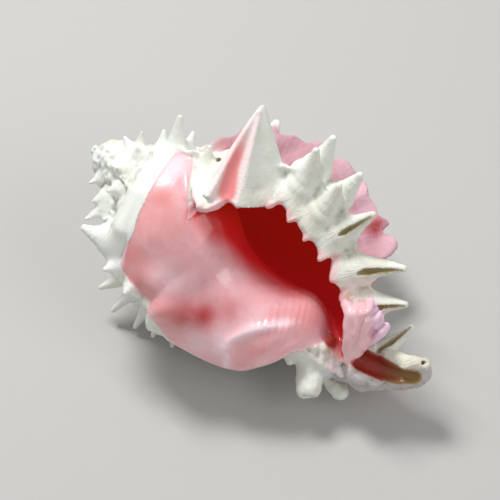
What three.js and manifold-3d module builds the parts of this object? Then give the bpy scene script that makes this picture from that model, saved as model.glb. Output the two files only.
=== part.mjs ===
// A pink-mouthed murex shell, about 118 mm from its apex to the end of its canal, lying on its back
// with the mouth up. The shell grew as one piece. It is built about its coiling axis, apex up and
// mouth to the front, as a spiral that repeats itself at a smaller size every turn, and each solid is
// turned to the way the shell rests before it is joined. All lengths are millimetres, angles degrees.
import * as THREE from "three";
import { LoftGeometry } from "three/addons/geometries/LoftGeometry.js";
import { mergeVertices } from "three/addons/utils/BufferGeometryUtils.js";
import Module from "manifold-3d";

const wasm = await Module();
wasm.setup();

// Coiling. Heights are below the apex and so negative.
const GROWTH_PER_TURN = 1.8;
const VARIX_STEP = 60;
const LIP_ANGLE = 55;
const TURNS_OF_SPIRE = 2.3;
const SWEEP_STEP = 22.5;
const PROFILE_POINTS = 11;
const CORE_RADIUS = 3;
const WALL = 2.6;
const LIP_WALL = 1.8;
const CAVITY_BACK = -162;
const CAVITY_FRONT = 60;
// The shell is a little flatter on its left: the share of its radius lost, and the angle of most loss.
const FLATTER = 0.1;
const FLATTEST_AT = -90;

// How far the lip grew past its varix, in degrees, by the share of the way down the whorl, and its
// teeth: their number if they ran the whole way down, the place of one of them, and their height.
const LIP_REACH = 8;
const LIP_OVERHANG = [[0, 50], [0.12, 46], [0.22, 30], [0.295, 19], [0.35, 9], [0.45, 8], [1, 8]];
const LIP_TURNED_IN = 0.12;
const LIP_TEETH = 14;
const TOOTH_AT = 0.295;
const TOOTH_HEIGHT = 6;

// The outside of the last whorl at the lip, from the suture down to the neck: radius, height.
const WHORL = [
  [13, -21], [20.5, -26], [28.5, -32.5], [33.6, -41], [35.8, -53],
  [34, -66], [28.5, -79], [21, -90], [14, -98], [9, -105],
];
// The hollow of the last whorl at the lip: its outer side follows the whorl, and this is its inner
// side, from the front end of the mouth up along the columella to the back end.
const HOLLOW_INNER = [
  [7.5, -93], [8, -84], [8.5, -72], [9, -60], [11.5, -52], [16.5, -44], [20.5, -37], [21.5, -32],
];
const HOLLOW_TOP = 0.17;
const HOLLOW_BOTTOM = 0.86;

// Spines from the suture down: place on the whorl as a share of its length, length outward, how far
// the tip leans down (negative is up towards the apex) and forward, and root radius.
const LIP_SPINES = [
  { u: 0.41, length: 16, down: -3, forward: 0, root: 4.6 },
  { u: 0.495, length: 13, down: -1, forward: 1, root: 4.6 },
  { u: 0.57, length: 16, down: 0, forward: 0, root: 4.6 },
  { u: 0.68, length: 17, down: 5, forward: 0, root: 4.6 },
  { u: 0.79, length: 15, down: 3, forward: 0, root: 4.2 },
  { u: 0.4, length: 14.5, down: -2, forward: -13, root: 4.8 },
  { u: 0.5, length: 13, down: -2, forward: -12, root: 4.6 },
];
const OLD_SPINES = [
  { u: 0.22, length: 19, down: -4, forward: -2, root: 6.4 },
  { u: 0.33, length: 16, down: -2, forward: -1, root: 4.6 },
  { u: 0.42, length: 18, down: 0, forward: -1, root: 4.4 },
  { u: 0.52, length: 18, down: 2, forward: -1, root: 4.4 },
  { u: 0.61, length: 17, down: 3, forward: -1, root: 4.4 },
  { u: 0.72, length: 17, down: 4, forward: -1, root: 4.4 },
  { u: 0.82, length: 13, down: 5, forward: -1, root: 4 },
];
const LEFT_SPINES = OLD_SPINES.map((s, i) => (i === 0 ? { ...s, length: 15, down: -9, root: 7 } : s));
const SPIRE_SPINES = [{ ...OLD_SPINES[0], length: 24, down: 2 }];
const SPINE_SIDES = 5;

// The big spine at the shoulder of the lip: a folded pyramid whose front gutter is the notch at the
// back end of the mouth. Each corner of its foot is height down the axis, distance to the right, and
// depth towards the front.
const NOTCH_SPINE_TIP = [28.5, 41, 28];
const NOTCH_SPINE_FOOT = [
  [35.5, 10.5, 26.5], [38, 17, 20], [41.8, 18, 27], [43, 33, 20], [37, 33, 6], [32, 19, 19],
];
// Where the folded spine's sections lie, and how wide they are, as shares of its height and foot.
const NOTCH_SPINE_SECTIONS = [[0, 1], [0.35, 0.6], [0.7, 0.3], [0.97, 0.09]];

// The raised frill of a varix: its foot ahead of and behind the middle, its height between spines.
const LIP_FRILL = { from: 0.3, to: 0.95, front: 3.5, back: 8, height: 5.5, lean: 0, peak: 0.3 };
const OLD_FRILL = { from: 0.04, to: 0.93, front: 3.5, back: 7, height: 6, lean: 1.5, peak: 0.3 };
// The frill and the spines of each varix grew to a height of their own, the last but one the tallest.
const FRILL_GAIN = [1, 2.9, 1.5, 1, 0.8];
const SPINE_GAIN = [1, 1.12, 0.9, 1.22, 0.85, 0, 1, 0.7, 0.7, 0.6, 0.5, 0.5, 0.9];
const FRILL_STEPS = 12;
const FRILL_EDGE = 0.9;
const FRILL_SINKS = 1.5;
// A frill is low at the suture, full a little below the shoulder, and low again towards the canal.
const FRILL_RISES = [-0.05, 0.42];
const FRILL_FALLS = [0.78, 1];
const FRILL_FALL = 0.45;

// The canal: a gutter that leaves the front end of the mouth and bends away from the axis. Each point
// of its path is a radius and a height. Older canals grew at a slower rate than the whorls.
const CANAL_PATH = [[4, -80], [5, -92], [8, -102], [13.5, -109.5], [19.5, -115]];
const CANAL_RADIUS = [10, 8.4, 7, 6, 4.8];
const CANAL_TWIST = 10;
const CANAL_RATE = 0.6;
const OLD_CANAL_BEND = 0.7;
const CANAL_SIDES = 8;
const CANAL_STEPS = 5;
const CANAL_WALL = 2.3;
const CANAL_OPENS_TO = 15;
const CANAL_GUTTER_LIFT = 3.4;
const CANAL_GUTTER_PAST = 12;
// Spines on the canal's right wall: foot and tip, each height, distance right, and depth.
const CANAL_SPINES = [
  { foot: [103, 10, 4], tip: [104.5, 26, 9], root: 3.8 },
  { foot: [110, 14, 4], tip: [113, 22.5, 7], root: 3 },
];

// The lobed flap at the front end of the lip, which folds over the canal: rows of left, middle and
// right points, each distance to the right and depth.
const FLAP = [
  { height: 80, left: [17, 21], middle: [21, 24.5], right: [27, 17] },
  { height: 84.5, left: [15.4, 19], middle: [20, 24], right: [26, 15] },
  { height: 89, left: [11.6, 16.5], middle: [16.5, 21.5], right: [24, 13] },
  { height: 93.5, left: [8.2, 13], middle: [14.5, 18], right: [22, 10] },
  { height: 98.5, left: [4.6, 9.5], middle: [11, 13], right: [18.5, 7] },
];
const FLAP_THICK = 2.4;

// The columella: the pillar on the axis, swollen beside the front end of the mouth.
const COLUMELLA = [
  [-1.5, 1.2], [-6.5, 5], [-30, 8], [-50, 8], [-62, 8], [-70, 10], [-77, 12.5], [-83, 11.5],
  [-88, 8.5], [-95, 6],
];
const COLUMELLA_SIDES = 8;

// The callus: a glossy shield over the front of the body, free along its lower left edge. Each row
// is a height, then the angle and radius of the left edge.
const CALLUS_EDGE = [
  [-19, 20, 0], [-22, -8, 0], [-26, -30, 0], [-31, -60, 0], [-38, -74, 0], [-45, -80, 27],
  [-53, -84, 28], [-61, -82, 26.5], [-69, -78, 24], [-76, -70, 20.5], [-81, -50, 15.5], [-85, -10, 11],
  [-91, 20, 9.5],
];
const CALLUS_RIGHT = 58;
const CALLUS_THICK = 2.4;
const CALLUS_ON_BODY = 1.5;
const CALLUS_STEPS = 8;
const CALLUS_BLEND = 3;
const CALLUS_HOLLOWED = 1.2;
// The hump that the buried varix raises under the callus: height, angle, rise, half width and height.
const HUMP = { height: -48, angle: -52, rise: 3.5, tall: 13, wide: 14 };

// How the shell rests: the side that is up, as an angle from the front, how far the apex is raised,
// and the apex's height above the surface. Tips that would reach lower are worn flat.
const UP_ANGLE = 29.5;
const APEX_RAISED = 25;
const APEX_HEIGHT = 54.4;
const FLOOR_BLOCK = [400, 400, 60];

const rad = THREE.MathUtils.degToRad;
const { lerp, clamp, smoothstep } = THREE.MathUtils;
const growth = (phi) => GROWTH_PER_TURN ** (phi / 360);

// A point at an angle from the front, positive to the right, a radius from the axis and a height.
const at = (angle, radius, height) =>
  new THREE.Vector3(radius * Math.sin(rad(angle)), -radius * Math.cos(rad(angle)), height);
// A point as the front view shows it: millimetres down from the apex, to the right, and forward.
const seen = ([down, right, forward]) => new THREE.Vector3(right, -forward, -down);

// The shell faces the front, and grows towards smaller angles.
const angleOf = (phi) => LIP_ANGLE - phi;
const girth = (angle) => 1 - 0.5 * FLATTER * (1 + Math.cos(rad(angle - FLATTEST_AT)));
const onSpiral = (phi, radius, height) =>
  at(angleOf(phi), growth(phi) * girth(angleOf(phi)) * radius, growth(phi) * height);

const curveOf = (points) => new THREE.SplineCurve(points.map(([r, z]) => new THREE.Vector2(r, z)));
const whorlCurve = curveOf(WHORL);
const innerCurve = curveOf(HOLLOW_INNER);

// A run of values between hand-set pairs of place and value.
const lastOf = (list) => list[list.length - 1];
function ramp(pairs, x) {
  if (x <= pairs[0][0]) return pairs[0][1];
  for (let i = 1; i < pairs.length; i++) {
    const [x0, y0] = pairs[i - 1];
    const [x1, y1] = pairs[i];
    if (x <= x1) return lerp(y0, y1, (x - x0) / (x1 - x0));
  }
  return lastOf(pairs)[1];
}

const WHORL_SAMPLES = 160;
const whorlSamples = whorlCurve.getPoints(WHORL_SAMPLES);
// The whorl's radius at a height, at the lip's size.
function whorlRadius(height) {
  for (let i = 1; i < whorlSamples.length; i++)
    if (height >= whorlSamples[i].y) {
      const a = whorlSamples[i - 1];
      const b = whorlSamples[i];
      return lerp(a.x, b.x, clamp((a.y - height) / (a.y - b.y), 0, 1));
    }
  return lastOf(whorlSamples).x;
}

// The turn from the shell's own axes to the way it rests. The front stays towards the viewer.
function resting() {
  const up = at(UP_ANGLE, Math.cos(rad(APEX_RAISED)), Math.sin(rad(APEX_RAISED)));
  const back = new THREE.Vector3(0, 1, 0).addScaledVector(up, -up.y).normalize();
  const right = new THREE.Vector3().crossVectors(back, up);
  const turn = new THREE.Matrix4().makeBasis(right, back, up).transpose();
  return new THREE.Matrix4().makeTranslation(0, 0, APEX_HEIGHT).multiply(turn);
}
const atRest = resting();

// A closed solid skinned over rings of points. A loft wants each ring to turn anticlockwise seen
// from its far end, so rings that turn the other way are reversed.
function turnsForward(ring, next) {
  const normal = new THREE.Vector3();
  const middle = new THREE.Vector3();
  ring.forEach((p, i) => {
    const q = ring[(i + 1) % ring.length];
    normal.add(new THREE.Vector3().crossVectors(p, q));
    middle.add(next[i]).sub(p);
  });
  return normal.dot(middle) > 0;
}
function loft(rings) {
  const forward = turnsForward(rings[0], rings[1]);
  const turned = forward ? rings : rings.map((ring) => [...ring].reverse());
  return solidOf(new LoftGeometry(turned, { capStart: true, capEnd: true }).applyMatrix4(atRest));
}
function solidOf(skin) {
  const bare = new THREE.BufferGeometry();
  bare.setAttribute("position", skin.getAttribute("position"));
  bare.setIndex(skin.index);
  const merged = mergeVertices(bare, 1e-4);
  return new wasm.Manifold(
    new wasm.Mesh({
      numProp: 3,
      vertProperties: merged.attributes.position.array,
      triVerts: new Uint32Array(merged.index.array),
    }),
  );
}
const joined = (solids) => wasm.Manifold.union(solids);

// A section of the whorl. Ahead of the last varix it turns in and ends in teeth.
const turnedIn = (u, atLip) => 1 - LIP_TURNED_IN * atLip * smoothstep(u, 0.1, 0.35);
function whorlRing(phi, places, atLip = 0) {
  const ring = places.map((u) => {
    const p = whorlCurve.getPointAt(u);
    const tooth = TOOTH_HEIGHT * Math.cos(2 * Math.PI * LIP_TEETH * (u - TOOTH_AT));
    const reach = atLip * (ramp(LIP_OVERHANG, u) + tooth * smoothstep(u, 0.15, 0.3));
    return onSpiral(phi + reach, p.x * turnedIn(u, atLip), p.y);
  });
  ring.push(onSpiral(phi, CORE_RADIUS, lastOf(WHORL)[1]));
  ring.push(onSpiral(phi, CORE_RADIUS, WHORL[0][1]));
  return ring;
}
// Half a turn of the whorl.
const SPAN = 180;
const SPAN_OVERLAP = 5;
function whorlSpan(to) {
  const steps = SPAN / SWEEP_STEP;
  const places = [];
  const rings = [];
  for (let i = 0; i <= PROFILE_POINTS; i++) places.push(i / PROFILE_POINTS);
  for (let i = 0; i <= steps; i++) rings.push(whorlRing(to - SPAN + i * SWEEP_STEP, places));
  return loft(rings);
}
// The lip, with a point at each tooth and one between.
const LIP_BACK = -12;
function lip() {
  const half = 1 / (2 * LIP_TEETH);
  const places = [0];
  for (let u = TOOTH_AT % half; u < 1; u += half) places.push(u);
  const rings = [LIP_BACK, 0].map((phi) => whorlRing(phi, places));
  rings.push(whorlRing(0, places, 1));
  return loft(rings);
}
function whorls() {
  const spans = [lip()];
  for (let phi = 0; phi > -360 * TURNS_OF_SPIRE; phi -= SPAN - SPAN_OVERLAP) spans.push(whorlSpan(phi));
  return joined(spans);
}

// The hollow, widest at the lip, where the wall thins.
const HOLLOW_OUTER_STEPS = 8;
const HOLLOW_INNER_STEPS = 6;
function hollowRing(phi) {
  const ring = [];
  const thinning = smoothstep(phi, -40, LIP_REACH);
  const atLip = clamp(phi / LIP_REACH, 0, 1);
  const wall = lerp(WALL, LIP_WALL, thinning);
  for (let i = 0; i <= HOLLOW_OUTER_STEPS; i++) {
    const u = lerp(HOLLOW_TOP, HOLLOW_BOTTOM, i / HOLLOW_OUTER_STEPS);
    const p = whorlCurve.getPointAt(u);
    const t = whorlCurve.getTangentAt(u);
    ring.push(onSpiral(phi, (p.x + t.y * wall) * turnedIn(u, atLip), p.y - t.x * wall));
  }
  for (let i = 0; i <= HOLLOW_INNER_STEPS; i++) {
    const p = innerCurve.getPointAt(i / HOLLOW_INNER_STEPS);
    ring.push(onSpiral(phi, p.x, p.y));
  }
  return ring;
}
function hollow() {
  const rings = [];
  const steps = Math.round((CAVITY_FRONT - CAVITY_BACK) / SWEEP_STEP);
  for (let i = 0; i <= steps; i++) rings.push(hollowRing(lerp(CAVITY_BACK, CAVITY_FRONT, i / steps)));
  return loft(rings);
}

// A place on a varix: a share of the way down the whorl's outside, then millimetres forward, which
// is the way the shell grew, outward and down. Lengths shrink with the whorl.
function onVarix(number, u, forward, outward, down = 0) {
  const phi = -VARIX_STEP * number;
  const k = growth(phi);
  const p = whorlCurve.getPointAt(u);
  const t = whorlCurve.getTangentAt(u);
  const radius = k * (girth(angleOf(phi)) * p.x - t.y * outward + t.x * down);
  const height = k * (p.y + t.x * outward + t.y * down);
  const ahead = at(angleOf(phi) - 90, 1, 0);
  return at(angleOf(phi), radius, height).addScaledVector(ahead, k * forward);
}

// A spine along a bent line, thinner towards its tip: each place along it and its share of the root.
const SPINE_SHAPE = [[0, 1.1], [0.4, 0.7], [1, 0.2]];
function spineAlong(root, middle, tip, radius) {
  const path = new THREE.QuadraticBezierCurve3(root, middle, tip);
  const rings = SPINE_SHAPE.map(([t, share]) => {
    const centre = path.getPoint(t);
    const along = path.getTangent(t);
    const across = new THREE.Vector3(along.y, -along.x, 0).normalize();
    const side = new THREE.Vector3().crossVectors(along, across);
    const ring = [];
    for (let i = 0; i < SPINE_SIDES; i++) {
      const a = (2 * Math.PI * i) / SPINE_SIDES;
      const p = centre.clone().addScaledVector(across, radius * share * Math.cos(a));
      ring.push(p.addScaledVector(side, radius * share * Math.sin(a)));
    }
    return ring;
  });
  return loft(rings);
}
// A spine starts a little inside the whorl, and bends where it has done half its length and a quarter
// of its lean.
const SPINE_SINKS = 2;
function spine(number, s) {
  const length = s.length * SPINE_GAIN[number];
  const root = onVarix(number, s.u, s.forward, -SPINE_SINKS);
  const middle = onVarix(number, s.u, s.forward, length / 2, s.down / 4);
  const tip = onVarix(number, s.u, s.forward, length, s.down);
  return spineAlong(root, middle, tip, s.root * growth(-VARIX_STEP * number));
}
function canalSpine({ foot, tip, root }) {
  const from = seen(foot);
  const to = seen(tip);
  return spineAlong(from, from.clone().lerp(to, 0.5), to, root);
}

function notchSpine() {
  const tip = seen(NOTCH_SPINE_TIP);
  const foot = NOTCH_SPINE_FOOT.map(seen);
  const middle = new THREE.Vector3();
  for (const p of foot) middle.addScaledVector(p, 1 / foot.length);
  const rings = NOTCH_SPINE_SECTIONS.map(([t, share]) => {
    const centre = middle.clone().lerp(tip, t);
    return foot.map((p) => centre.clone().addScaledVector(p.clone().sub(middle), share));
  });
  return loft(rings);
}

// The raised frill between the spines of a varix, scalloped so that it rises at each spine.
const PEAK_WIDTH = 0.035;
const bell = (x) => Math.exp(-(x ** 2));
function frillHeight(u, { height, peak }, spines) {
  let h = height;
  for (const s of spines) h += peak * (s.length - height) * bell((u - s.u) / PEAK_WIDTH);
  return h * smoothstep(u, ...FRILL_RISES) * (1 - FRILL_FALL * smoothstep(u, ...FRILL_FALLS));
}
function frill(number, shape, spines, to = shape.to) {
  const rings = [];
  const steps = Math.ceil((FRILL_STEPS * (to - shape.from)) / (shape.to - shape.from));
  for (let i = 0; i <= steps; i++) {
    const u = lerp(shape.from, to, i / steps);
    const h = frillHeight(u, shape, spines) * (FRILL_GAIN[number] ?? 1);
    const halfway = shape.lean / 2;
    rings.push([
      onVarix(number, u, -shape.back, -FRILL_SINKS),
      onVarix(number, u, halfway - shape.back / 2, h / 2),
      onVarix(number, u, shape.lean - FRILL_EDGE, h),
      onVarix(number, u, shape.lean + FRILL_EDGE, h),
      onVarix(number, u, halfway + shape.front / 2, h / 2),
      onVarix(number, u, shape.front, -FRILL_SINKS),
    ]);
  }
  return loft(rings);
}

function canalPath(number) {
  const phi = -VARIX_STEP * number;
  const angle = angleOf(phi) + CANAL_TWIST;
  const k = growth(phi) ** CANAL_RATE;
  const bend = number === 0 ? 1 : OLD_CANAL_BEND;
  return new THREE.CatmullRomCurve3(CANAL_PATH.map(([r, z]) => at(angle, r * k * bend, z * k)));
}
function canalTube(number, { thinner = 0, lift = 0, past = 0 }) {
  const phi = -VARIX_STEP * number;
  const k = growth(phi) ** CANAL_RATE;
  const path = canalPath(number);
  const opens = at(CANAL_OPENS_TO - phi, 1, 0);
  const rings = [];
  for (let i = 0; i <= CANAL_STEPS; i++) {
    const t = i / CANAL_STEPS;
    const centre = path.getPoint(t);
    const along = path.getTangent(t);
    if (i === CANAL_STEPS) centre.addScaledVector(along, past);
    const up = opens.clone().addScaledVector(along, -opens.dot(along)).normalize();
    const side = new THREE.Vector3().crossVectors(along, up);
    const radii = CANAL_RADIUS.map((r, j) => [j / (CANAL_RADIUS.length - 1), r]);
    const radius = ramp(radii, t) * k - thinner;
    const ring = [];
    for (let j = 0; j < CANAL_SIDES; j++) {
      const a = (2 * Math.PI * j) / CANAL_SIDES;
      const p = centre.clone().addScaledVector(up, radius * Math.cos(a) + lift);
      ring.push(p.addScaledVector(side, radius * Math.sin(a)));
    }
    rings.push(ring);
  }
  return loft(rings);
}

function flap() {
  const rings = FLAP.map(({ height, left, middle, right }) => {
    const front = [left, middle, right].map(([x, d]) => seen([height, x, d]));
    const back = [right, middle, left].map(([x, d]) => seen([height + 1, x + 1, d - FLAP_THICK]));
    return [...front, ...back];
  });
  return loft(rings);
}

function columella() {
  const rings = COLUMELLA.map(([height, radius]) => {
    const ring = [];
    for (let j = 0; j < COLUMELLA_SIDES; j++) ring.push(at((360 * j) / COLUMELLA_SIDES, radius, height));
    return ring;
  });
  return loft(rings);
}

const byDepth = (rows, column) => rows.map((row) => [-row[0], row[column]]);
const edgeAngle = (height) => ramp(byDepth(CALLUS_EDGE, 1), -height);
const edgeRadius = (height) => ramp(byDepth(CALLUS_EDGE, 2), -height);
const columellaRadius = (height) => ramp(byDepth(COLUMELLA, 1), -height);
function callusRadius(angle, height) {
  const k = growth(LIP_ANGLE - angle - 360);
  const body = k * girth(angle) * whorlRadius(height / k) + CALLUS_ON_BODY;
  const share = clamp((CALLUS_RIGHT - angle) / (CALLUS_RIGHT - edgeAngle(height)), 0, 1);
  const plate = lerp(columellaRadius(height), edgeRadius(height), share ** CALLUS_HOLLOWED);
  const gap = clamp(0.5 + (0.5 * (body - plate)) / CALLUS_BLEND, 0, 1);
  const across = (angle - HUMP.angle) / HUMP.wide;
  const down = (height - HUMP.height) / HUMP.tall;
  const hump = HUMP.rise * bell(across) * bell(down);
  return lerp(plate, body, gap) + CALLUS_BLEND * gap * (1 - gap) + hump;
}
function callus() {
  const rings = CALLUS_EDGE.map(([height]) => {
    const front = [];
    const back = [];
    for (let i = 0; i <= CALLUS_STEPS; i++) {
      const angle = lerp(CALLUS_RIGHT, edgeAngle(height), i / CALLUS_STEPS);
      const r = callusRadius(angle, height);
      front.push(at(angle, r, height));
      back.push(at(angle, r - CALLUS_THICK, height));
    }
    return [...front, ...back.reverse()];
  });
  return loft(rings);
}

// The varices in view on the last whorl are whole. The one under the callus has no spines, and those
// of the spire show only above the next whorl.
const WHOLE_VARICES = [1, 2, 3, 4];
const SPIRE_VARICES = [6, 7, 8, 9, 10, 11, 12];
const SPIRE_SHOWS = 0.4;
function shell() {
  const grown = [whorls(), frill(0, LIP_FRILL, LIP_SPINES), notchSpine()];
  for (const s of LIP_SPINES) grown.push(spine(0, s));
  for (const n of WHOLE_VARICES) {
    grown.push(frill(n, OLD_FRILL, OLD_SPINES));
    for (const s of n === 4 ? LEFT_SPINES : OLD_SPINES) grown.push(spine(n, s));
  }
  for (const n of SPIRE_VARICES) {
    grown.push(frill(n, OLD_FRILL, OLD_SPINES, SPIRE_SHOWS));
    for (const s of SPIRE_SPINES) grown.push(spine(n, s));
  }
  for (const n of [0, 1, 2, 3]) grown.push(canalTube(n, {}));
  for (const s of CANAL_SPINES) grown.push(canalSpine(s));
  const outside = joined(grown);
  const inner = { thinner: CANAL_WALL, lift: CANAL_GUTTER_LIFT, past: CANAL_GUTTER_PAST };
  const gutter = canalTube(0, inner);
  const emptied = outside.subtract(hollow()).subtract(gutter);
  const whole = joined([emptied, columella(), callus(), flap()]);
  const floor = new THREE.BoxGeometry(...FLOOR_BLOCK).translate(0, 0, -FLOOR_BLOCK[2] / 2);
  return whole.subtract(solidOf(floor));
}

function meshOf(solid, name, material) {
  const { numProp, vertProperties, triVerts, numVert } = solid.getMesh();
  const positions = new Float32Array(numVert * 3);
  for (let i = 0; i < numVert; i++) {
    positions.set(vertProperties.subarray(i * numProp, i * numProp + 3), i * 3);
  }
  const geometry = new THREE.BufferGeometry();
  geometry.setAttribute("position", new THREE.BufferAttribute(positions, 3));
  geometry.setIndex(new THREE.BufferAttribute(triVerts, 1));
  geometry.computeVertexNormals();
  const mesh = new THREE.Mesh(geometry, material);
  mesh.name = name;
  return mesh;
}

const chalk = new THREE.MeshStandardMaterial({ color: 0xe9e4d8, roughness: 0.8, metalness: 0 });
const piece = meshOf(shell(), "shell", chalk);
piece.geometry.computeBoundingBox();
const middle = piece.geometry.boundingBox.getCenter(new THREE.Vector3());
piece.geometry.translate(-middle.x, -middle.y, 0);

const group = new THREE.Group();
group.add(piece);
export default group;
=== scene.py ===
"""A pink-mouthed murex shell lying on its back, mouth up, on a plain pale floor.

The shell is one piece. Its skin is worked out as one smooth solid: whorls, ribs, spines, canals, the
glossy shield over the mouth and the hollow inside are each a distance from any point in space, and
they are joined with soft seams. The skin is where the joined distance is zero. Lengths in the shape
code are millimetres about the coiling axis, apex up and mouth to the front; the mesh is in metres,
lying the way the shell rests.
"""
import math
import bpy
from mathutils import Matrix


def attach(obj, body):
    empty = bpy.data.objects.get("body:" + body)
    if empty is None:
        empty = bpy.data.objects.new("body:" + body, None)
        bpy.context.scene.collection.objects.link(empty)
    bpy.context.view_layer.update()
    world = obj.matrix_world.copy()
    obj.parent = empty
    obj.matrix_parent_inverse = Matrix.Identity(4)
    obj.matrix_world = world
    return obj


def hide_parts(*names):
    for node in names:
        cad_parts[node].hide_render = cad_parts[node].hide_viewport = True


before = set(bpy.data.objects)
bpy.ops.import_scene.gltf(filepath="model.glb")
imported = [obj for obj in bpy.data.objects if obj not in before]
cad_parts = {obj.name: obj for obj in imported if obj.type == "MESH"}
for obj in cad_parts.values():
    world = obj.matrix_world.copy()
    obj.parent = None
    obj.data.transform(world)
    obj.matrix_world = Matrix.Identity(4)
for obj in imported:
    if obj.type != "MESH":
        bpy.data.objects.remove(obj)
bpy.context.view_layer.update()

from concurrent.futures import ThreadPoolExecutor

import bpy
import numpy as np
from bpy.props import FloatProperty, FloatVectorProperty, IntProperty, PointerProperty
from mathutils import Matrix, Vector
from mathutils.kdtree import KDTree

bl_info = {
    "name": "Murex shell",
    "version": (1, 0, 0),
    "blender": (4, 5, 0),
    "location": "View3D > Sidebar > Shell",
    "description": "Grows a spiny pink-mouthed murex shell and lights it on a plain floor",
    "category": "Add Mesh",
}

NODE = "shell"
MM = 0.001

# How the shell coils. Heights are below the apex and so negative; angles are in degrees.
GROWTH_PER_TURN = 1.8
TURNS = 4
VARIX_STEP = 60
LIP_ANGLE = 55
AHEAD_OF_LIP = 60
FLATTER = 0.1
FLATTEST_AT = -90
WHORL = [
    (13, -21), (20.5, -26), (28.5, -32.5), (33.6, -41), (35.8, -53),
    (34, -66), (28.5, -79), (21, -90), (14, -98), (9, -105),
]

# The lip: how far it overhangs the mouth, in degrees, by the share of the way down, and its teeth.
LIP_OVERHANG = [
    (0, -5), (0.05, 2), (0.1, 20), (0.148, 34), (0.195, 41), (0.235, 34), (0.295, 19), (0.35, 7),
    (0.45, 4.5), (0.65, 4), (1, 7),
]
LIP_TURNED_IN = 0.12
LIP_TURNS_OVER = 8
LIP_TURNS_FROM = (24, 38)
LIP_TEETH = 14
TOOTH_AT = 0.295
TOOTH_HEIGHT = 4.6
TOOTH_ROUND = 0.4
TEETH_FROM = (0.15, 0.3)

# The hollow of the last whorl: its wall and its inner side along the columella.
WALL = 2.2
HOLLOW_BACK = -162
HOLLOW_SHARES = (0.17, 0.86)
HOLLOW_INNER = [
    (7.5, -93), (8, -84), (8.5, -72), (9, -60), (11.5, -52), (16.5, -44), (20.5, -37), (21.5, -32),
]

# Spines of the lip and of the older ribs: share of the way down, length, lean down, forward, root.
LIP_SPINES = [
    (0.41, 15, -4.4, 0, 4.4), (0.495, 12.5, -4.2, 1, 4.4), (0.57, 15.5, -1.6, 0, 4.4),
    (0.68, 17, 2.3, 0, 4.4), (0.79, 14.5, -0.3, 0, 4.2), (0.4, 14, -2, -13, 4.6),
    (0.5, 12.5, -2.5, -12, 4.4),
]
LIP_SLITS = [0.0, 0.0, 0.8, 1.15, 0.9, 0.0, 0.0]
OLD_SPINES = [
    (0.22, 19, -4, -2, 6.4), (0.33, 16, -2, -1, 4.6), (0.42, 18, 0, -1, 4.4), (0.52, 18, 2, -1, 4.4),
    (0.61, 17, 3, -1, 4.4), (0.72, 17, 4, -1, 4.4), (0.82, 13, 5, -1, 4),
]
BACK_SPINES = [
    (0.22, 8, -2, -2, 6.4), (0.33, 16, -2, -1, 4.6), (0.385, 18.5, 0, -1, 4), (0.45, 17, 1, -1, 4),
    (0.5, 15.5, 2, -1, 4), (0.57, 15, 2, -1, 4), (0.64, 14, 3, -1, 4), (0.72, 14, 4, -1, 4.2),
    (0.82, 11, 5, -1, 4),
]
LEFT_LENGTHS = [10, 10, 9, 8, 7, 6]
LEFT_ROOT = 4.8
LEFT_SPINES = [(0.22, 13.5, -7, -2, 6.8)] + [
    (row[0], length, *row[2:4], LEFT_ROOT) for row, length in zip(OLD_SPINES[1:], LEFT_LENGTHS)
]
FIN_ROOT = 3.2
FIN_SPINES = [(0.2, 4.5, -3, -2, 5), (0.3, 17, 0.5, -1, 6.4)] + [
    (*row[:4], FIN_ROOT) for row in OLD_SPINES[2:]
]
SPIRE_SPINES = [(0.22, 20.5, 2, -2, 6)]

# How many times as long as its row says a spine is, by the number of its rib; the lip's is 0.
SPINE_GAIN = [1, 1.12, 0.9, 1.22, 0.85, 0, 1, 0.7, 0.7, 0.6, 0.5, 0.5, 0.9]
WHOLE_VARICES = (1, 2, 3, 4)
SPIRE_VARICES = (6, 7, 8, 9, 10, 11, 12)
FIN_VARIX = 1
BACK_VARIX = 3
LEFT_VARIX = 4
BURIED_VARIX = 5

# How a spine stands on its rib: how deep its root is, and how it is bent halfway along.
SPINE_SUNK = 2.0
SPINE_SEAM = 2.2
HALFWAY_OUT = 0.5
HALFWAY_DOWN = 0.25
HALFWAY_BACK = 0.6

# What fills the groove between the spire and the callus, as the front view shows it.
SHOULDER_FILL = [
    ((18.5, 10.5, 11.5), 3.0), ((20, 6.5, 13.6), 3.4), ((21, -1, 16.8), 3.6), ((24, -11, 15.6), 3.6),
    ((26.4, -18, 9.5), 3.2),
]

# Blunt knobs of the spire: foot, tip and radius, as the front view shows them.
SPIRE_KNOBS = [
    ((9, 6, 4), (5.4, 7.4, 5.5), 2.4), ((15, 13.5, 3), (12.2, 16.6, 4), 2.8),
    ((21, 18, 7), (18.9, 22, 8), 2.4), ((28, 18.5, 14), (25.8, 22.2, 17), 2.6),
    ((8.5, -5, 3), (6.8, -9, 4), 2.2), ((15, -12.5, 5), (13.4, -17.4, 6), 2.4),
    ((10, 0, 8.5), (8.6, -1, 10.8), 2.2), ((12, 7, 9), (10.5, 8, 11), 2.2),
    ((14.5, -5, 11), (13, -7, 13.6), 2.3), ((17, 4, 14), (15.8, 4.5, 16), 2.2),
    ((6, 2, 4), (4.2, 1.5, 6), 1.9),
]
KNOB_SUNK = 1.5
KNOB_SEAM = 2.0
KNOB_FRONT = np.array([0.1, -0.9, 0.4])

# The folded spine at the shoulder of the lip: down the axis, to the right, towards the front.
NOTCH_TIP = (28.5, 41, 28)
NOTCH_FOOT = [(35.5, 10.5, 26.5), (41.8, 18, 27), (43, 33, 20), (37, 33, 6), (32, 19, 19)]
NOTCH_GUTTER = ((39.4, 13.2, 28.6), 3.9)
NOTCH_STRIPE = [((38.6, 15.8), 1.7), ((35.0, 21.9), 1.0), ((32.9, 27.2), 0.6), ((30.9, 31.4), 0.3)]
NOTCH_FACE = ((46.4, 26.5, 29), 7.5)
NOTCH_THIN = 0.3
NOTCH_INSET = 0.8
NOTCH_ROUND = 2.2
NOTCH_SUNK = 6

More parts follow.
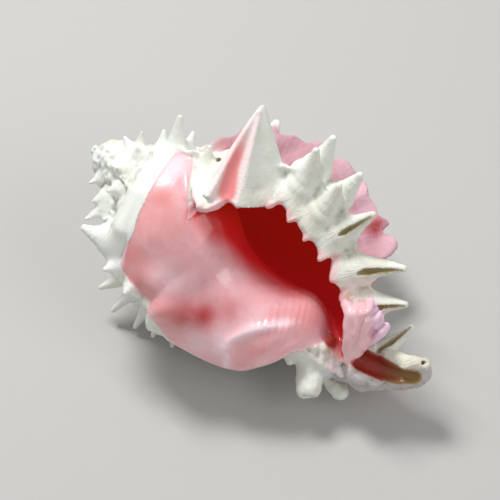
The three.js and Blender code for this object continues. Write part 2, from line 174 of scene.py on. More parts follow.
# Frills: where down the rib they start and end, their height, how far forward their foot and their
# crest lie, and how far they rise towards each spine.
LIP_FRILL = {"from": 0.3, "to": 0.95, "height": 4.2, "foot": -5.0, "lean": -1.5, "rise": 0.34}
OLD_FRILL = {"from": 0.04, "to": 0.93, "height": 6.0, "foot": -2.2, "lean": 1.5, "rise": 0.3}
LIP_FOOT_BACK = 3
FRILL_GAIN = [1, 1, 1.5, 1.6, 0.8]
FRILL_SUNK = 1.5
FRILL_THICK = (3.4, 0.75)
FRILL_THINNING = 0.6
FRILL_BURIED = 3
WEB_WIDTH = 0.035
FIN_HEIGHTS = [
    (0, 0), (0.1, 2), (0.2, 7), (0.3, 14), (0.42, 20), (0.5, 24), (0.56, 22.5), (0.6, 24), (0.645, 23.5),
    (0.662, 21), (0.68, 25), (0.72, 21.5), (0.755, 12), (0.785, 14), (0.83, 6), (0.9, 4),
]
FIN_LOBES = ((7.3, 0.6), (17, 0.0))
FIN_LOBE_HEIGHT = 0.7

# The canal: radius and height along its path, its width, and what is joined to it or cut into it.
CANAL_PATH = [(4, -80), (5, -92), (8, -102), (13, -109), (17.6, -113.2)]
CANAL_RADIUS = [10, 8.4, 7, 6, 4.8]
CANAL_TWIST = 10
CANAL_STEPS = 12
CANAL_RATE = 0.6
OLD_CANAL_BEND = 0.7
OLD_CANAL_THIN = 0.82
OLD_CANAL_SHORT = 0.9
OLD_STUMP = [((84, 3, -3), 4.2), ((88.5, -2, 2), 3.7), ((94.2, -8.6, 4.5), 3.8)]
OLD_STUMP_BORE = [((92.4, -6.4, 4), 1.6), ((98.5, -13.4, 6), 2.5)]
OLD_NUB = [((92, 0, -6), 4), ((99, -2.4, -3), 2.9), ((102.6, -3.4, -2), 2.4)]
LITTLE_NUB = [((83, 0, -2), 2.5), ((84.8, -6.2, 3), 1.7), ((85.2, -7.0, 3.6), 1.2)]
CANAL_SLIT = 1.0
CANAL_SPINES = [((103, 12.4, 5.5), (103.6, 24.4, 9.5), 4.2)]
GUTTER = [
    ((84, 11, 10), 5), ((89.8, 9, 9.5), 4.3), ((94.8, 7.8, 9.2), 3.3), ((99.6, 7.8, 9.6), 2.9),
    ((104.2, 9.4, 10), 2.6), ((110.2, 12, 11.2), 2.1), ((113.8, 14.6, 11.9), 1.4),
]
CANAL_LEDGE = [
    ((86.5, 1.5, 8), 2.8), ((90, 3.4, 9.4), 2.8), ((95, 3.4, 9.8), 2.8), ((100.4, 3.4, 9.2), 2.8),
    ((106, 5.6, 8.6), 2.7),
]
CANAL_CAP = [((104.5, 14.2, 9.5), 2.2), ((109, 15.8, 11.6), 2.3), ((113, 19.4, 11.8), 1.9)]
CANAL_HOLE = [((113.6, 20.4, 16), 0.9), ((112.4, 19.0, 11.8), 0.5)]
KNOB_HOLE = [((29.6, 21.6, 26), 1.0), ((30.2, 21.2, 12), 0.7)]

# The lobed flap that folds over the canal: folds that fan out, as the front view shows them.
FLAP = [
    [((96.5, 5, 10.5), 1.4), ((92, 10.2, 16), 2.1), ((87.6, 15.2, 19.5), 1.9), ((84.8, 16.3, 17), 1.5)],
    [((97, 6.6, 11.2), 1.5), ((93, 13, 18.5), 2.1), ((90, 18.2, 22), 2.3), ((89, 20.6, 19.5), 1.9)],
    [((97.5, 7.8, 11), 1.4), ((96.4, 12.6, 16), 1.8), ((96.8, 17.2, 17.5), 1.9), ((97.4, 19.2, 15.5), 1.6)],
    [((95, 9, 9), 2.2), ((91.5, 14.5, 15.5), 3.4), ((90, 18, 17), 3.4), ((93.5, 19, 15), 2.6)],
    [((93.6, 15.5, 19.2), 1.1), ((93, 18.6, 20.4), 1.4), ((92.6, 21, 18.5), 1.3)],
]

# The columella by height and radius, and the glossy callus over the front of the body by height,
# angle of its free edge and radius there.
COLUMELLA = [
    (-1.5, 1.2), (-6.5, 5), (-30, 8), (-50, 8), (-62, 8), (-70, 10), (-77, 12.5), (-83, 11.5),
    (-88, 8.5), (-95, 6),
]
COLUMELLA_SQUEEZE = 0.7
CALLUS_EDGE = [
    (-19, 20, 0), (-22, -8, 0), (-26, -30, 0), (-31, -60, 0), (-38, -74, 0), (-45, -80, 27),
    (-53, -84, 28), (-61, -82, 26.5), (-69, -78, 24), (-76, -70, 20.5), (-81, -50, 15.5),
    (-85, -10, 11), (-91, 20, 9.5),
]
CALLUS_RIGHT = 58
CALLUS_THICK = 2.4
CALLUS_ON_BODY = 1.5
CALLUS_BLEND = 3
CALLUS_SLOPE = 0.85
CALLUS_ROUND = 1.6
CALLUS_PAST_EDGE = 1.15
CALLUS_SWELL = 1.2
HUMP = {"height": -48, "angle": -52, "rise": 3.5, "tall": 13, "wide": 14}

# Where the callus ends on the left and at its top right, how far down it ends, and where the mouth
# turns red, in millimetres down and to the right. The first rows on the left are its top edge.
CALLUS_TOP_ROWS = 7
CALLUS_LEFT = [
    (19.5, 14), (20.7, 7.9), (22.5, 0.2), (25, -6.4), (27.3, -11.7), (27.9, -15.7), (29.1, -19.4),
    (36.3, -21.9), (41.8, -24.5), (47.9, -24.7), (55.2, -26.5), (70, -26), (95, -20),
]
CALLUS_TOP_RIGHT = [(18, 17.5), (24.2, 16.4), (27.7, 12.3), (30.2, 8.5), (34.3, 4.5), (36, 2.2)]
CALLUS_FOOT = ((-26, -18.6, -15.3, -5, 7.7, 12), (74, 77.5, 80, 84, 89.6, 91))
# The red is the mouth's own colour; where it starts on the shield follows the shade into the mouth, so it
# is partly painted shade.
RED_FROM = [
    (30, 9.5), (35.5, 5.3), (42, 4.2), (49.3, 5.7), (63.4, 6.5), (71, 9.9), (77.8, 14.3), (83.2, 12.8),
    (88.5, 7.8), (96, 4.5),
]

# Soft forms of the callus in the front view, in millimetres: ridges, creases, humps and hollows.
RIDGES = [
    ([(73.5, -21.5), (71.5, -19.5), (68, -14.7), (69.7, -8.9), (72.7, -3.9), (76, 1)], 1.5, 1.1),
    ([(23.4, 16.8), (29, 11), (34.6, 5.1)], 0.9, 0.8),
    ([(36, -24.5), (38, -22.8), (45.6, -18.7), (50.7, -14.6)], 2.4, -0.7),
    ([(75, -22), (79, -12), (82, -4), (85, 4)], 1.2, 0.5),
]
RIDGE_POINTS = 16
HUMPS = [
    (44, -14.5, 5, 4.5, 0.9), (56.5, -15, 7, 8, -1.3), (72, -12, 4, 4.5, -0.4), (30, -8, 4, 5, 0.5),
    (36, -12, 3, 4, -0.4), (63, -2, 5, 5, 0.4),
]
FOLDS = [(73.5, -1, 4.2, 6.5, 1.0), (76, 6, 4, 3.5, 0.8)]

# Creases of the flap: the line that each follows, its width and its depth.
CREASES = [
    ([(93.0, 22.6), (91.9, 19.9), (91.7, 17.6)], 0.6, 1.1),
    ([(96.3, 20.1), (95.6, 17.4), (96.0, 14.4)], 0.6, 1.1),
    ([(87.1, 20.2), (90.2, 17.5), (92.4, 13.5), (94.5, 9.2)], 0.6, 0.7),
    ([(86.2, 17.3), (89.7, 14.1), (93.2, 10.1)], 0.5, 0.4),
    ([(95.6, 16.1), (97.6, 11.9)], 0.5, 0.6),
]

# Tints of the callus: down, right, half height, half width, strength.
SALMON_SPOTS = [
    (26, 2.5, 4.5, 4, 0.8), (32, -3, 10, 7, 0.4), (31, -16, 5, 4, 0.7), (39, -21, 8, 4, 0.85),
    (50.7, -19.5, 5, 5.5, 0.85), (47, -20, 3.2, 2.6, 0.5), (80, 6, 5, 6, 0.5), (75, -12, 4.5, 5, 0.35),
]
# The rose is the shield's own deeper pink, darkest over its hollow, where it is partly painted shade.
ROSE_SPOTS = [
    (57.6, -14.2, 4.2, 5, 1.0), (54, -17.5, 3.2, 5.5, 0.75), (62, -8, 4, 4.5, 0.45), (73.5, -1, 4, 6, 0.25),
]
MAUVE_SPOTS = [(44, -12, 6.5, 6, 0.85), (49, -5, 8, 8, 0.6), (38, -4, 5, 6, 0.5), (60, 0, 6, 4, 0.35)]
PALE_SPOTS = [
    (67, -17, 4, 4, 0.85), (62, -21, 4, 3.5, 0.7), (69.5, -7, 3, 6, 0.6), (40, -14.5, 3, 4, 0.3),
    (22, 11, 4.2, 6, 0.95), (44, -14.5, 4, 4, 0.3), (86, 0, 3, 9, 0.5), (80, -14, 3, 5, 0.5),
]

# The red patch low on the fin, given like the tints of the callus.
FIN_RED = [(77.4, 40.6, 3.4, 3.6, 1.0)]

# How the shell rests, and where its apex is.
UP_ANGLE = 29.5
APEX_RAISED = 25
APEX = np.array([-44.08, 19.11, 54.4])


def cos_deg(angle):
    return np.cos(np.radians(angle))


def at(angle, radius, height):
    """Points at an angle from the front, positive to the right, a radius from the axis and a height."""
    a = np.radians(angle)
    return np.stack(np.broadcast_arrays(radius * np.sin(a), -radius * np.cos(a), height), axis=-1)


def seen(place):
    """A point as the front view shows it: millimetres down from the apex, to the right, and forward."""
    down, right, forward = place
    return np.array([right, -forward, -down], float)


def unit(v):
    return v / np.linalg.norm(v, axis=-1, keepdims=True)


def rest_turn():
    """The rows right, back and up of the resting shell, in the shell's own axes."""
    up = at(UP_ANGLE, cos_deg(APEX_RAISED), math.sin(math.radians(APEX_RAISED)))
    back = unit(np.array([0.0, 1.0, 0.0]) - up * up[1])
    return np.array([np.cross(back, up), back, up])


TURN = rest_turn()


def to_shell(points):
    """Points of the resting shell, about its own axis."""
    return (points - APEX) @ TURN


def growth(phi):
    """How big the shell was when it had grown to an angle, 1 at the lip."""
    return GROWTH_PER_TURN ** (phi / 360)


def girth(angle):
    """How the whorls are flattened on one side."""
    return 1 - 0.5 * FLATTER * (1 + cos_deg(angle - FLATTEST_AT))


def smooth(x, low, high):
    """0 below low and 1 above high, with soft ends."""
    t = np.clip((x - low) / (high - low), 0, 1)
    return t * t * (3 - 2 * t)


def bell(x):
    return np.exp(-(x**2))


def fade(x, low, high):
    """1 below low and 0 above high."""
    return 1 - smooth(x, low, high)


def lerp(a, b, t):
    return a + (b - a) * t


def union(a, b, seam):
    """Two solids joined with a soft seam."""
    h = np.clip(0.5 + 0.5 * (b - a) / seam, 0, 1)
    return lerp(b, a, h) - seam * h * (1 - h)


def cut(a, b, seam):
    """Solid a with solid b taken away, the new edge rounded."""
    return -union(-a, b, seam)


def overlap(a, b, seam):
    """What two solids share, the new edge rounded."""
    return -union(-a, -b, seam)


def curve(points, count=200, even=True):
    """A smooth line through the points, its places spaced evenly along it."""
    p = np.array(points, float)
    p = np.vstack([p[:1], p, p[-1:]])
    line = []
    for i in range(1, len(p) - 2):
        t = np.linspace(0, 1, 24, endpoint=False)[:, None]
        a, b, c, d = p[i - 1], p[i], p[i + 1], p[i + 2]
        line.append(0.5 * (2 * b + (c - a) * t + (2 * a - 5 * b + 4 * c - d) * t**2
                           + (3 * b - a - 3 * c + d) * t**3))
    line = np.vstack(line + [p[-2:-1]])
    if not even:
        return line
    length = np.concatenate([[0], np.cumsum(np.linalg.norm(np.diff(line, axis=0), axis=1))])
    shares = np.linspace(0, length[-1], count)
    return np.stack([np.interp(shares, length, column) for column in line.T], axis=1)


def row_curve(rows, column):
    """A smooth function of height through listed rows."""
    line = curve([(row[0], row[column]) for row in rows], even=False)
    order = np.argsort(line[:, 0])
    heights, values = line[order].T
    return lambda height: np.interp(height, heights, values)


class Section:
    """The distance to a closed outline in a half plane through the axis, and the share of the way down."""

    STEP = 0.5
    RADII = (-8.0, 74.0)
    HEIGHTS = (-132.0, 8.0)

    def __init__(self, outline, shares):
        radii = np.arange(*self.RADII, self.STEP)
        heights = np.arange(*self.HEIGHTS, self.STEP)
        r, z = (m.ravel() for m in np.meshgrid(radii, heights, indexing="ij"))
        best = np.full(r.shape, np.inf)
        share = np.zeros(r.shape)
        inside = np.zeros(r.shape, bool)
        ends = np.roll(outline, -1, axis=0)
        for (r0, z0), (r1, z1), s0, s1 in zip(outline, ends, shares, np.roll(shares, -1)):
            dr, dz = r1 - r0, z1 - z0
            t = np.clip(((r - r0) * dr + (z - z0) * dz) / (dr * dr + dz * dz + 1e-12), 0, 1)
            d = np.hypot(r - r0 - t * dr, z - z0 - t * dz)
            closer = d < best
            best = np.where(closer, d, best)
            share = np.where(closer, lerp(s0, s1, t), share)
            crosses = (z0 > z) != (z1 > z)
            with np.errstate(divide="ignore", invalid="ignore"):
                inside ^= crosses & (r < r0 + (z - z0) * dr / dz)
        shape = (len(radii), len(heights))
        self.distance = np.where(inside, -best, best).reshape(shape)
        self.share = share.reshape(shape)

    def __call__(self, r, z):
        gr = np.clip((r - self.RADII[0]) / self.STEP, 0, self.distance.shape[0] - 1.001)
        gz = np.clip((z - self.HEIGHTS[0]) / self.STEP, 0, self.distance.shape[1] - 1.001)
        i = gr.astype(int)
        j = gz.astype(int)
        fr = gr - i
        fz = gz - j
        corners = [((i, j), (1 - fr) * (1 - fz)), ((i + 1, j), fr * (1 - fz)),
                   ((i, j + 1), (1 - fr) * fz), ((i + 1, j + 1), fr * fz)]
        distance = sum(self.distance[at_] * weight for at_, weight in corners)
        share = sum(self.share[at_] * weight for at_, weight in corners)
        beyond = np.hypot(r - (gr * self.STEP + self.RADII[0]), z - (gz * self.STEP + self.HEIGHTS[0]))
        return distance + beyond, share


WHORL_LINE = curve(WHORL)


def whorl_section():
    closing = np.array([(0.0, WHORL[-1][1]), (-8.0, WHORL[-1][1]), (-8.0, WHORL[0][1]), (0.0, WHORL[0][1])])
    outline = np.vstack([WHORL_LINE, closing])
    shares = np.concatenate([np.linspace(0, 1, len(WHORL_LINE)), [1, 1, 0, 0]])
    return Section(outline, shares)


def hollow_section():
    first, last = (int(s * (len(WHORL_LINE) - 1)) for s in HOLLOW_SHARES)
    part = WHORL_LINE[first:last]
    tangent = unit(np.gradient(WHORL_LINE, axis=0)[first:last])
    inset = part + WALL * np.stack([tangent[:, 1], -tangent[:, 0]], axis=1)
    outline = np.vstack([inset, curve(HOLLOW_INNER, 60)])
    return Section(outline, np.zeros(len(outline)))


WHORL_AT = whorl_section()
HOLLOW_AT = hollow_section()


class Coil:
    """Where points lie on one turn of the coil."""

    def __init__(self, points, turn):
        x, y, height = points.T
        self.radius = np.hypot(x, y)
        self.angle = np.degrees(np.arctan2(x, -y))
        around = LIP_ANGLE - self.angle
        self.phi = (around + 360 - AHEAD_OF_LIP) % 360 - (360 - AHEAD_OF_LIP) - 360 * turn
        self.k = growth(self.phi)
        self.r = self.radius / (self.k * girth(self.angle))
        self.z = height / self.k
        if turn == 0:
            at_lip = np.clip(self.phi / LIP_TURNS_OVER, 0, 1)
            self.r = self.r / (1 - LIP_TURNED_IN * at_lip * smooth(-self.z, *LIP_TURNS_FROM))
        self.out, self.u = WHORL_AT(self.r, self.z)

    def ahead_of(self, phi):
        """Millimetres forward, along the way of growth, of a place on the coil."""
        return np.radians(self.phi - phi) * self.radius


OVERHANG = [np.array(column, float) for column in zip(*LIP_OVERHANG)]


def lip_reach(u):
    """Where the lip ends, in degrees past its rib, by the share of the way down."""
    wave = np.cos(2 * np.pi * LIP_TEETH * (u - TOOTH_AT))
    pointed = 1 - np.arccos(wave) * 2 / np.pi
    tooth = TOOTH_HEIGHT * (TOOTH_ROUND * wave + (1 - TOOTH_ROUND) * pointed)
    return np.interp(u, *OVERHANG) + tooth * smooth(u, *TEETH_FROM)


def frill_table():
    """The height of each frill by rib and by share of the way down."""
    u = np.linspace(0, 1, 201)
    rows = []
    for number in range(TURNS * 6 + 2):
        shape = LIP_FRILL if number == 0 else OLD_FRILL
        spines = LIP_SPINES if number == 0 else OLD_SPINES
        h = np.full(u.shape, shape["height"])
        for place, length, *_ in spines:
            h += shape["rise"] * (length - shape["height"]) * bell((u - place) / WEB_WIDTH)
        h *= smooth(u, -0.05, 0.42) * (1 - 0.45 * smooth(u, 0.78, 1))
        h *= FRILL_GAIN[number] if number < len(FRILL_GAIN) else 1
        if number == FIN_VARIX:
            lobes = sum(FIN_LOBE_HEIGHT * np.cos(2 * np.pi * n * u + start) for n, start in FIN_LOBES)
            h = np.interp(u, *np.array(FIN_HEIGHTS).T) + lobes * smooth(u, 0.1, 0.4)
        shown = smooth(u, shape["from"] - 0.05, shape["from"] + 0.04)
        shown = shown * fade(u, shape["to"] - 0.05, shape["to"] + 0.05)
        if number == BURIED_VARIX:
            shown = shown * 0
        rows.append(h * shown - FRILL_BURIED * (1 - shown))
    return np.array(rows)


FRILL_HEIGHTS = frill_table()
FRILL_STEPS = FRILL_HEIGHTS.shape[1] - 1
FAR = 9.0


def frill(coil):
    """The raised ribs: each a slab standing on the whorl, thick at its foot and thin at its crest."""
    number = np.clip(np.rint(-coil.phi / VARIX_STEP), 0, len(FRILL_HEIGHTS) - 1).astype(int)
    forward = coil.ahead_of(-VARIX_STEP * number) / coil.k
    height = FRILL_HEIGHTS[number, np.clip(coil.u * FRILL_STEPS, 0, FRILL_STEPS).astype(int)]
    lean = np.where(number == 0, LIP_FRILL["lean"], OLD_FRILL["lean"])
    foot = np.where(number == 0, LIP_FRILL["foot"], OLD_FRILL["foot"])
    df = lean - foot
    do = height + FRILL_SUNK
    t = np.clip(((forward - foot) * df + (coil.out + FRILL_SUNK) * do) / (df * df + do * do), 0, 1)
    away = np.hypot(forward - foot - t * df, coil.out + FRILL_SUNK - t * do)
    away = away - lerp(*FRILL_THICK, t**FRILL_THINNING)
    return np.where(height < -1, FAR, away) * coil.k


def on_varix(number, u, forward, outward, down=0.0):
    """A place on a rib: a share of the way down, then millimetres forward, outward and down."""
    phi = -VARIX_STEP * number
    k = growth(phi)
    i = int(round(u * (len(WHORL_LINE) - 1)))
    p = WHORL_LINE[i]
    t = unit(np.gradient(WHORL_LINE, axis=0)[i])
    angle = LIP_ANGLE - phi
    radius = k * (girth(angle) * p[0] - t[1] * outward + t[0] * down)
    height = k * (p[1] + t[0] * outward + t[1] * down)
    return at(angle, radius, height) + at(angle - 90, 1.0, 0.0) * k * forward


class Bar:
    """A rod of changing radius along a line."""

    def __init__(self, line, radii):
        self.line = line
        self.radii = radii

    def __call__(self, points):
        return self.along(points)[0]

    def along(self, points):
        """The distance of points from the rod, and the share of the way along it."""
        best = np.full(len(points), np.inf)
        share = np.zeros(len(points))
        spans = len(self.line) - 1
        for i in range(spans):
            a = self.line[i]
            ab = self.line[i + 1] - a
            t = np.clip((points - a) @ ab / (ab @ ab), 0, 1)
            radius = lerp(self.radii[i], self.radii[i + 1], t)
            d = np.linalg.norm(points - a - t[:, None] * ab, axis=1) - radius
            closer = d < best
            best = np.where(closer, d, best)
            share = np.where(closer, (i + t) / spans, share)
        return best, share


def strip(rows):
    """A rod through places of the front view, each with its own radius."""
    return Bar(np.array([seen(place) for place, _ in rows]), [radius for _, radius in rows])


def drawn(places):
    """A thin line on the front view, its places given as down and right."""
    return Bar(np.array(places, float), np.zeros(len(places)))


class Spine:
    """A tapered spine along a bent line, with a slit down its front where it grew closed."""

    SHARES = np.linspace(0, 1, 6)
    TAPER = ([0, 0.2, 0.45, 1], [1.4, 1.05, 0.7, 0.24])
    SLIT_TAPER = ([0, 0.2, 0.4, 0.8, 1], [0, 0, 0.25, 0.2, 0])
    SLIT_FORWARD = 0.86
    REACH_RADII = 1.3
    REACH_MARGIN = 4

    def __init__(self, root, middle, tip, radius, front, seam, slit):
        t = self.SHARES[:, None]
        line = (1 - t) ** 2 * root + 2 * t * (1 - t) * middle + t**2 * tip
        radii = radius * np.interp(self.SHARES, *self.TAPER)
        slit_line = line + front * (radii * self.SLIT_FORWARD)[:, None]
        self.body = Bar(line, radii)
        self.slit = Bar(slit_line, slit * radii * np.interp(self.SHARES, *self.SLIT_TAPER))
        self.is_open = slit > 0
        self.seam = seam
        self.centre = line.mean(axis=0)
        self.reach = np.linalg.norm(line - self.centre, axis=1).max()
        self.reach += radius * self.REACH_RADII + self.REACH_MARGIN

    def near(self, points):
        """Which points are close enough for the spine to matter."""
        return np.nonzero(((points - self.centre) ** 2).sum(axis=1) < self.reach**2)[0]


def spine_on(number, spine, slit):
    """A spine of a rib, by the rib's number and the spine's row."""
    u, length, down, forward, root = spine
    gain = SPINE_GAIN[number]
    k = growth(-VARIX_STEP * number)
    angle = LIP_ANGLE + VARIX_STEP * number
    back = LIP_FOOT_BACK if number == 0 else 0.0
    halfway = forward - back * HALFWAY_BACK
    return Spine(
        on_varix(number, u, forward - back, -SPINE_SUNK),
        on_varix(number, u, halfway, length * gain * HALFWAY_OUT, down * HALFWAY_DOWN),
        on_varix(number, u, forward, length * gain, down),
        root * k,
        at(angle - 90, 1.0, 0.0),
        SPINE_SEAM * k,
        slit,
    )


def all_spines():
    """The spines of every rib, of the canal and of the spire."""
    spines = [spine_on(0, s, slit) for s, slit in zip(LIP_SPINES, LIP_SLITS)]
    own_rows = {FIN_VARIX: FIN_SPINES, BACK_VARIX: BACK_SPINES, LEFT_VARIX: LEFT_SPINES}
    for number in WHOLE_VARICES:
        slit = 0.0 if number == FIN_VARIX else 1.0
        spines += [spine_on(number, s, slit) for s in own_rows.get(number, OLD_SPINES)]
    for number in SPIRE_VARICES:
        spines += [spine_on(number, s, 0.0) for s in SPIRE_SPINES]
    for rows, slit in ((CANAL_SPINES, CANAL_SLIT), (SPIRE_KNOBS, 0.0)):
        for foot, tip, root in rows:
            b = seen(tip)
            a = b + (seen(foot) - b) * KNOB_SUNK
            spines.append(Spine(a, lerp(a, b, 0.5), b, root, KNOB_FRONT, KNOB_SEAM, slit))
    return spines


SPINES = all_spines()


def notch_cutter(start, radius, share):
    """A rod from a place of the front view most of the way to the tip of the folded spine."""
    tip = seen(NOTCH_TIP)
    start = seen(start)
    return Bar(np.array([start, lerp(start, tip, share)]), (radius, NOTCH_THIN))


NOTCH_GUTTER_BAR = notch_cutter(*NOTCH_GUTTER, 0.86)
NOTCH_FACE_BAR = notch_cutter(*NOTCH_FACE, 0.9)
NOTCH_STRIPE_BAR = Bar(np.array([spot for spot, _ in NOTCH_STRIPE]), [wide for _, wide in NOTCH_STRIPE])


def notch_spine(points):
    """The folded spine at the shoulder: a pyramid with a gutter on its left and a hollowed right face."""
    tip = seen(NOTCH_TIP)
    foot = [seen(p) for p in NOTCH_FOOT]
    centre = (sum(foot) + tip) / (len(foot) + 1)
    solid = None
    for a, b in zip(foot, foot[1:] + foot[:1]):
        normal = unit(np.cross(b - a, tip - a))
        normal = normal if (a - centre) @ normal > 0 else -normal
        side = (points - a) @ normal - NOTCH_INSET
        solid = side if solid is None else overlap(solid, side, NOTCH_ROUND)
    axis = unit(tip - sum(foot) / len(foot))
    solid = np.maximum(solid, -(points - sum(foot) / len(foot)) @ axis - NOTCH_SUNK)
    return cut(cut(solid, NOTCH_GUTTER_BAR(points), 0.9), NOTCH_FACE_BAR(points), 1.2)


def canal_bar(number):
    """The bent canal of the lip or of an older rib."""
    angle = LIP_ANGLE + VARIX_STEP * number + CANAL_TWIST
    k = growth(-VARIX_STEP * number) ** CANAL_RATE
    bend, thin, short = (1, 1, 1) if number == 0 else (OLD_CANAL_BEND, OLD_CANAL_THIN, OLD_CANAL_SHORT)
    line = curve([at(angle, r * k * bend, z * k * short) for r, z in CANAL_PATH], CANAL_STEPS)
    shares = np.linspace(0, 1, CANAL_STEPS)
    radii = np.interp(shares, np.linspace(0, 1, len(CANAL_RADIUS)), CANAL_RADIUS) * k * thin
    return Bar(line, radii)


CANALS = [canal_bar(number) for number in range(2)]
GUTTER_BAR = strip(GUTTER)
LEDGE_BAR = strip(CANAL_LEDGE)

COLUMELLA_RADIUS = row_curve(COLUMELLA, 1)
EDGE_ANGLE = row_curve(CALLUS_EDGE, 1)
EDGE_RADIUS = row_curve(CALLUS_EDGE, 2)
WHORL_RADIUS = row_curve([tuple(p[::-1]) for p in WHORL_LINE[::6]], 1)


def columella(points):
    """The pillar about the axis, thinner on its left low down."""
    x, y, height = points.T
    squeeze = 1 + COLUMELLA_SQUEEZE * smooth(-height, 74, 80)
    across = np.where(x < 0, x * squeeze, x)
    ends = np.maximum(height - COLUMELLA[0][0], COLUMELLA[-1][0] - height)
    return np.maximum(np.hypot(across, y) - COLUMELLA_RADIUS(height), ends)


def callus_forms(right, down):
    """Millimetres that ridges, creases, humps and hollows lift the callus."""
    lift = np.zeros(len(down))
    place = np.stack([down, right], axis=1)
    for line, wide, height in RIDGES:
        away, along = drawn(curve(line, RIDGE_POINTS)).along(place)
        lift += height * bell(away / wide) * smooth(along, 0, 0.25) * fade(along, 0.75, 1)
    for s, q, tall, wide, height in HUMPS:
        lift += height * bell((down - s) / tall) * bell((right - q) / wide)
    return lift


def callus(points):
    """A shield over the front of the body, free along its lower left edge."""
    x, y, height = points.T
    radius = np.hypot(x, y)
    angle = np.degrees(np.arctan2(x, -y))
    k = growth(LIP_ANGLE - angle - 360)
    body = k * girth(angle) * WHORL_RADIUS(height / k) + CALLUS_ON_BODY
    edge = EDGE_ANGLE(height)
    share = np.clip((CALLUS_RIGHT - angle) / (CALLUS_RIGHT - edge), 0, CALLUS_PAST_EDGE)
    plate = lerp(COLUMELLA_RADIUS(height), EDGE_RADIUS(height), share**CALLUS_SWELL)
    gap = np.clip(0.5 + 0.5 * (body - plate) / CALLUS_BLEND, 0, 1)
    hump = HUMP["rise"] * bell((angle - HUMP["angle"]) / HUMP["wide"])
    hump = hump * bell((height - HUMP["height"]) / HUMP["tall"])
    skin = lerp(plate, body, gap) + CALLUS_BLEND * gap * (1 - gap) + hump + callus_forms(x, -height)
    half = CALLUS_THICK / 2
    slab = np.abs(radius - skin + half) - half
    left = np.radians(edge - angle) * radius
    right = np.radians(angle - CALLUS_RIGHT) * radius
    ends = np.maximum(height - CALLUS_EDGE[0][0], CALLUS_EDGE[-1][0] - height)
    side = np.maximum(np.maximum(left, right), ends)
    return overlap(slab * CALLUS_SLOPE, side, CALLUS_ROUND)


FLAP_FOLDS = [strip(rows) for rows in FLAP]
FLAP_SEAM = 1.7


def flap(points):
    """The lobed flap: folds that fan out from its lower end, joined softly."""
    solid = None
    for fold in FLAP_FOLDS:
        solid = fold(points) if solid is None else union(solid, fold(points), FLAP_SEAM)
    return solid


WHORL_SEAM = 2.4
LIP_SEAM = 1.0
SLIT_SEAM = 0.5
HOLLOW_SEAM = 0.8
HOLLOW_END_SEAM = 3.0


def hollow(coil):
    """The open inside of the last whorl."""
    inside = HOLLOW_AT(coil.r, coil.z)[0] * coil.k
    return overlap(inside, np.radians(HOLLOW_BACK - coil.phi) * coil.radius, HOLLOW_END_SEAM)


def whorls(points):
    """The coiled body with its ribs, and where the points lie on its last turn."""
    solid = None
    for turn in range(TURNS):
        coil = Coil(points, turn)
        body = coil.out * coil.k
        if turn == 0:
            past_lip = np.radians(coil.phi - lip_reach(coil.u)) * coil.radius
            body = overlap(body, past_lip, LIP_SEAM)
            last = coil
        body = union(body, frill(coil), WHORL_SEAM * coil.k)
        solid = body if solid is None else union(solid, body, WHORL_SEAM)
    return solid, last


# What is joined to the body or cut from it, in order and with its seam, before and after the hollow.
BEFORE_HOLLOW = [
    (union, notch_spine, 1.5),
    *((union, canal, 1.2) for canal in CANALS),
    *((union, strip(stump), 1.2) for stump in (OLD_STUMP, OLD_NUB, LITTLE_NUB)),
    (cut, strip(OLD_STUMP_BORE), 0.6),
    (union, LEDGE_BAR, 1.6),
]
AFTER_HOLLOW = [
    (cut, GUTTER_BAR, 1.0),
    (union, strip(CANAL_CAP), 1.4),
    (cut, strip(CANAL_HOLE), 0.4),
    (cut, strip(KNOB_HOLE), 0.4),
    (union, columella, 3.5),
    (union, strip(SHOULDER_FILL), 3.0),
    (union, callus, 2.0),
    (union, flap, 0.9),
]


def skin(points):
    """The distance of points from the skin of the whole shell, negative inside."""
    solid, coil = whorls(points)
    for spine in SPINES:
        near = spine.near(points)
        if len(near) == 0:
            continue
        local = points[near]
        d = union(solid[near], spine.body(local), spine.seam)
        solid[near] = cut(d, spine.slit(local), SLIT_SEAM)
    for join, form, seam in BEFORE_HOLLOW:
        solid = join(solid, form(points), seam)
    solid = cut(solid, hollow(coil), HOLLOW_SEAM)
    for join, form, seam in AFTER_HOLLOW:
        solid = join(solid, form(points), seam)
    return solid


CHUNK = 60000
THREADS = 4


def field(points):
    """The distance to the resting shell, floor taken off, worked out in parts side by side."""
    def part(start):
        rest = points[start:start + CHUNK]
        return np.maximum(skin(to_shell(rest)), -rest[:, 2])

    with ThreadPoolExecutor(THREADS) as pool:
        return np.concatenate(list(pool.map(part, range(0, len(points), CHUNK))))


COARSE = 4
BAND = 1.7
SPACE = np.array([(-58.0, -47.0, -2.0), (58.0, 47.0, 88.0)])


def sample(step):
    """The distance on a grid of points over the shell, worked out finely only near the skin."""
    low, high = SPACE
    wide = step * COARSE
    cells = np.ceil((high - low) / wide).astype(int)
    nodes = [low[i] + np.arange(cells[i] + 1) * wide for i in range(3)]
    grid = np.stack(np.meshgrid(*nodes, indexing="ij"), axis=-1)
    coarse = field(grid.reshape(-1, 3)).reshape(grid.shape[:3])
    close = np.abs(coarse) < BAND * wide
    near = np.zeros(cells, bool)
    for i, j, k in np.ndindex(2, 2, 2):
        near |= close[i:i + cells[0], j:j + cells[1], k:k + cells[2]]
    size = cells * COARSE + 1
    sign = coarse[:-1, :-1, :-1]
    for axis in range(3):
        sign = np.repeat(sign, COARSE, axis=axis)
        near = np.repeat(near, COARSE, axis=axis)
    fine = np.full(size, FAR)
    fine[:-1, :-1, :-1] = np.where(sign < 0, -FAR, FAR)
    band = np.zeros(size, bool)
    band[:-1, :-1, :-1] = near
    for axis in range(3):
        band |= np.roll(band, 1, axis=axis)
    places = np.argwhere(band)
    fine[band] = field(low + places * step)
    return fine, low


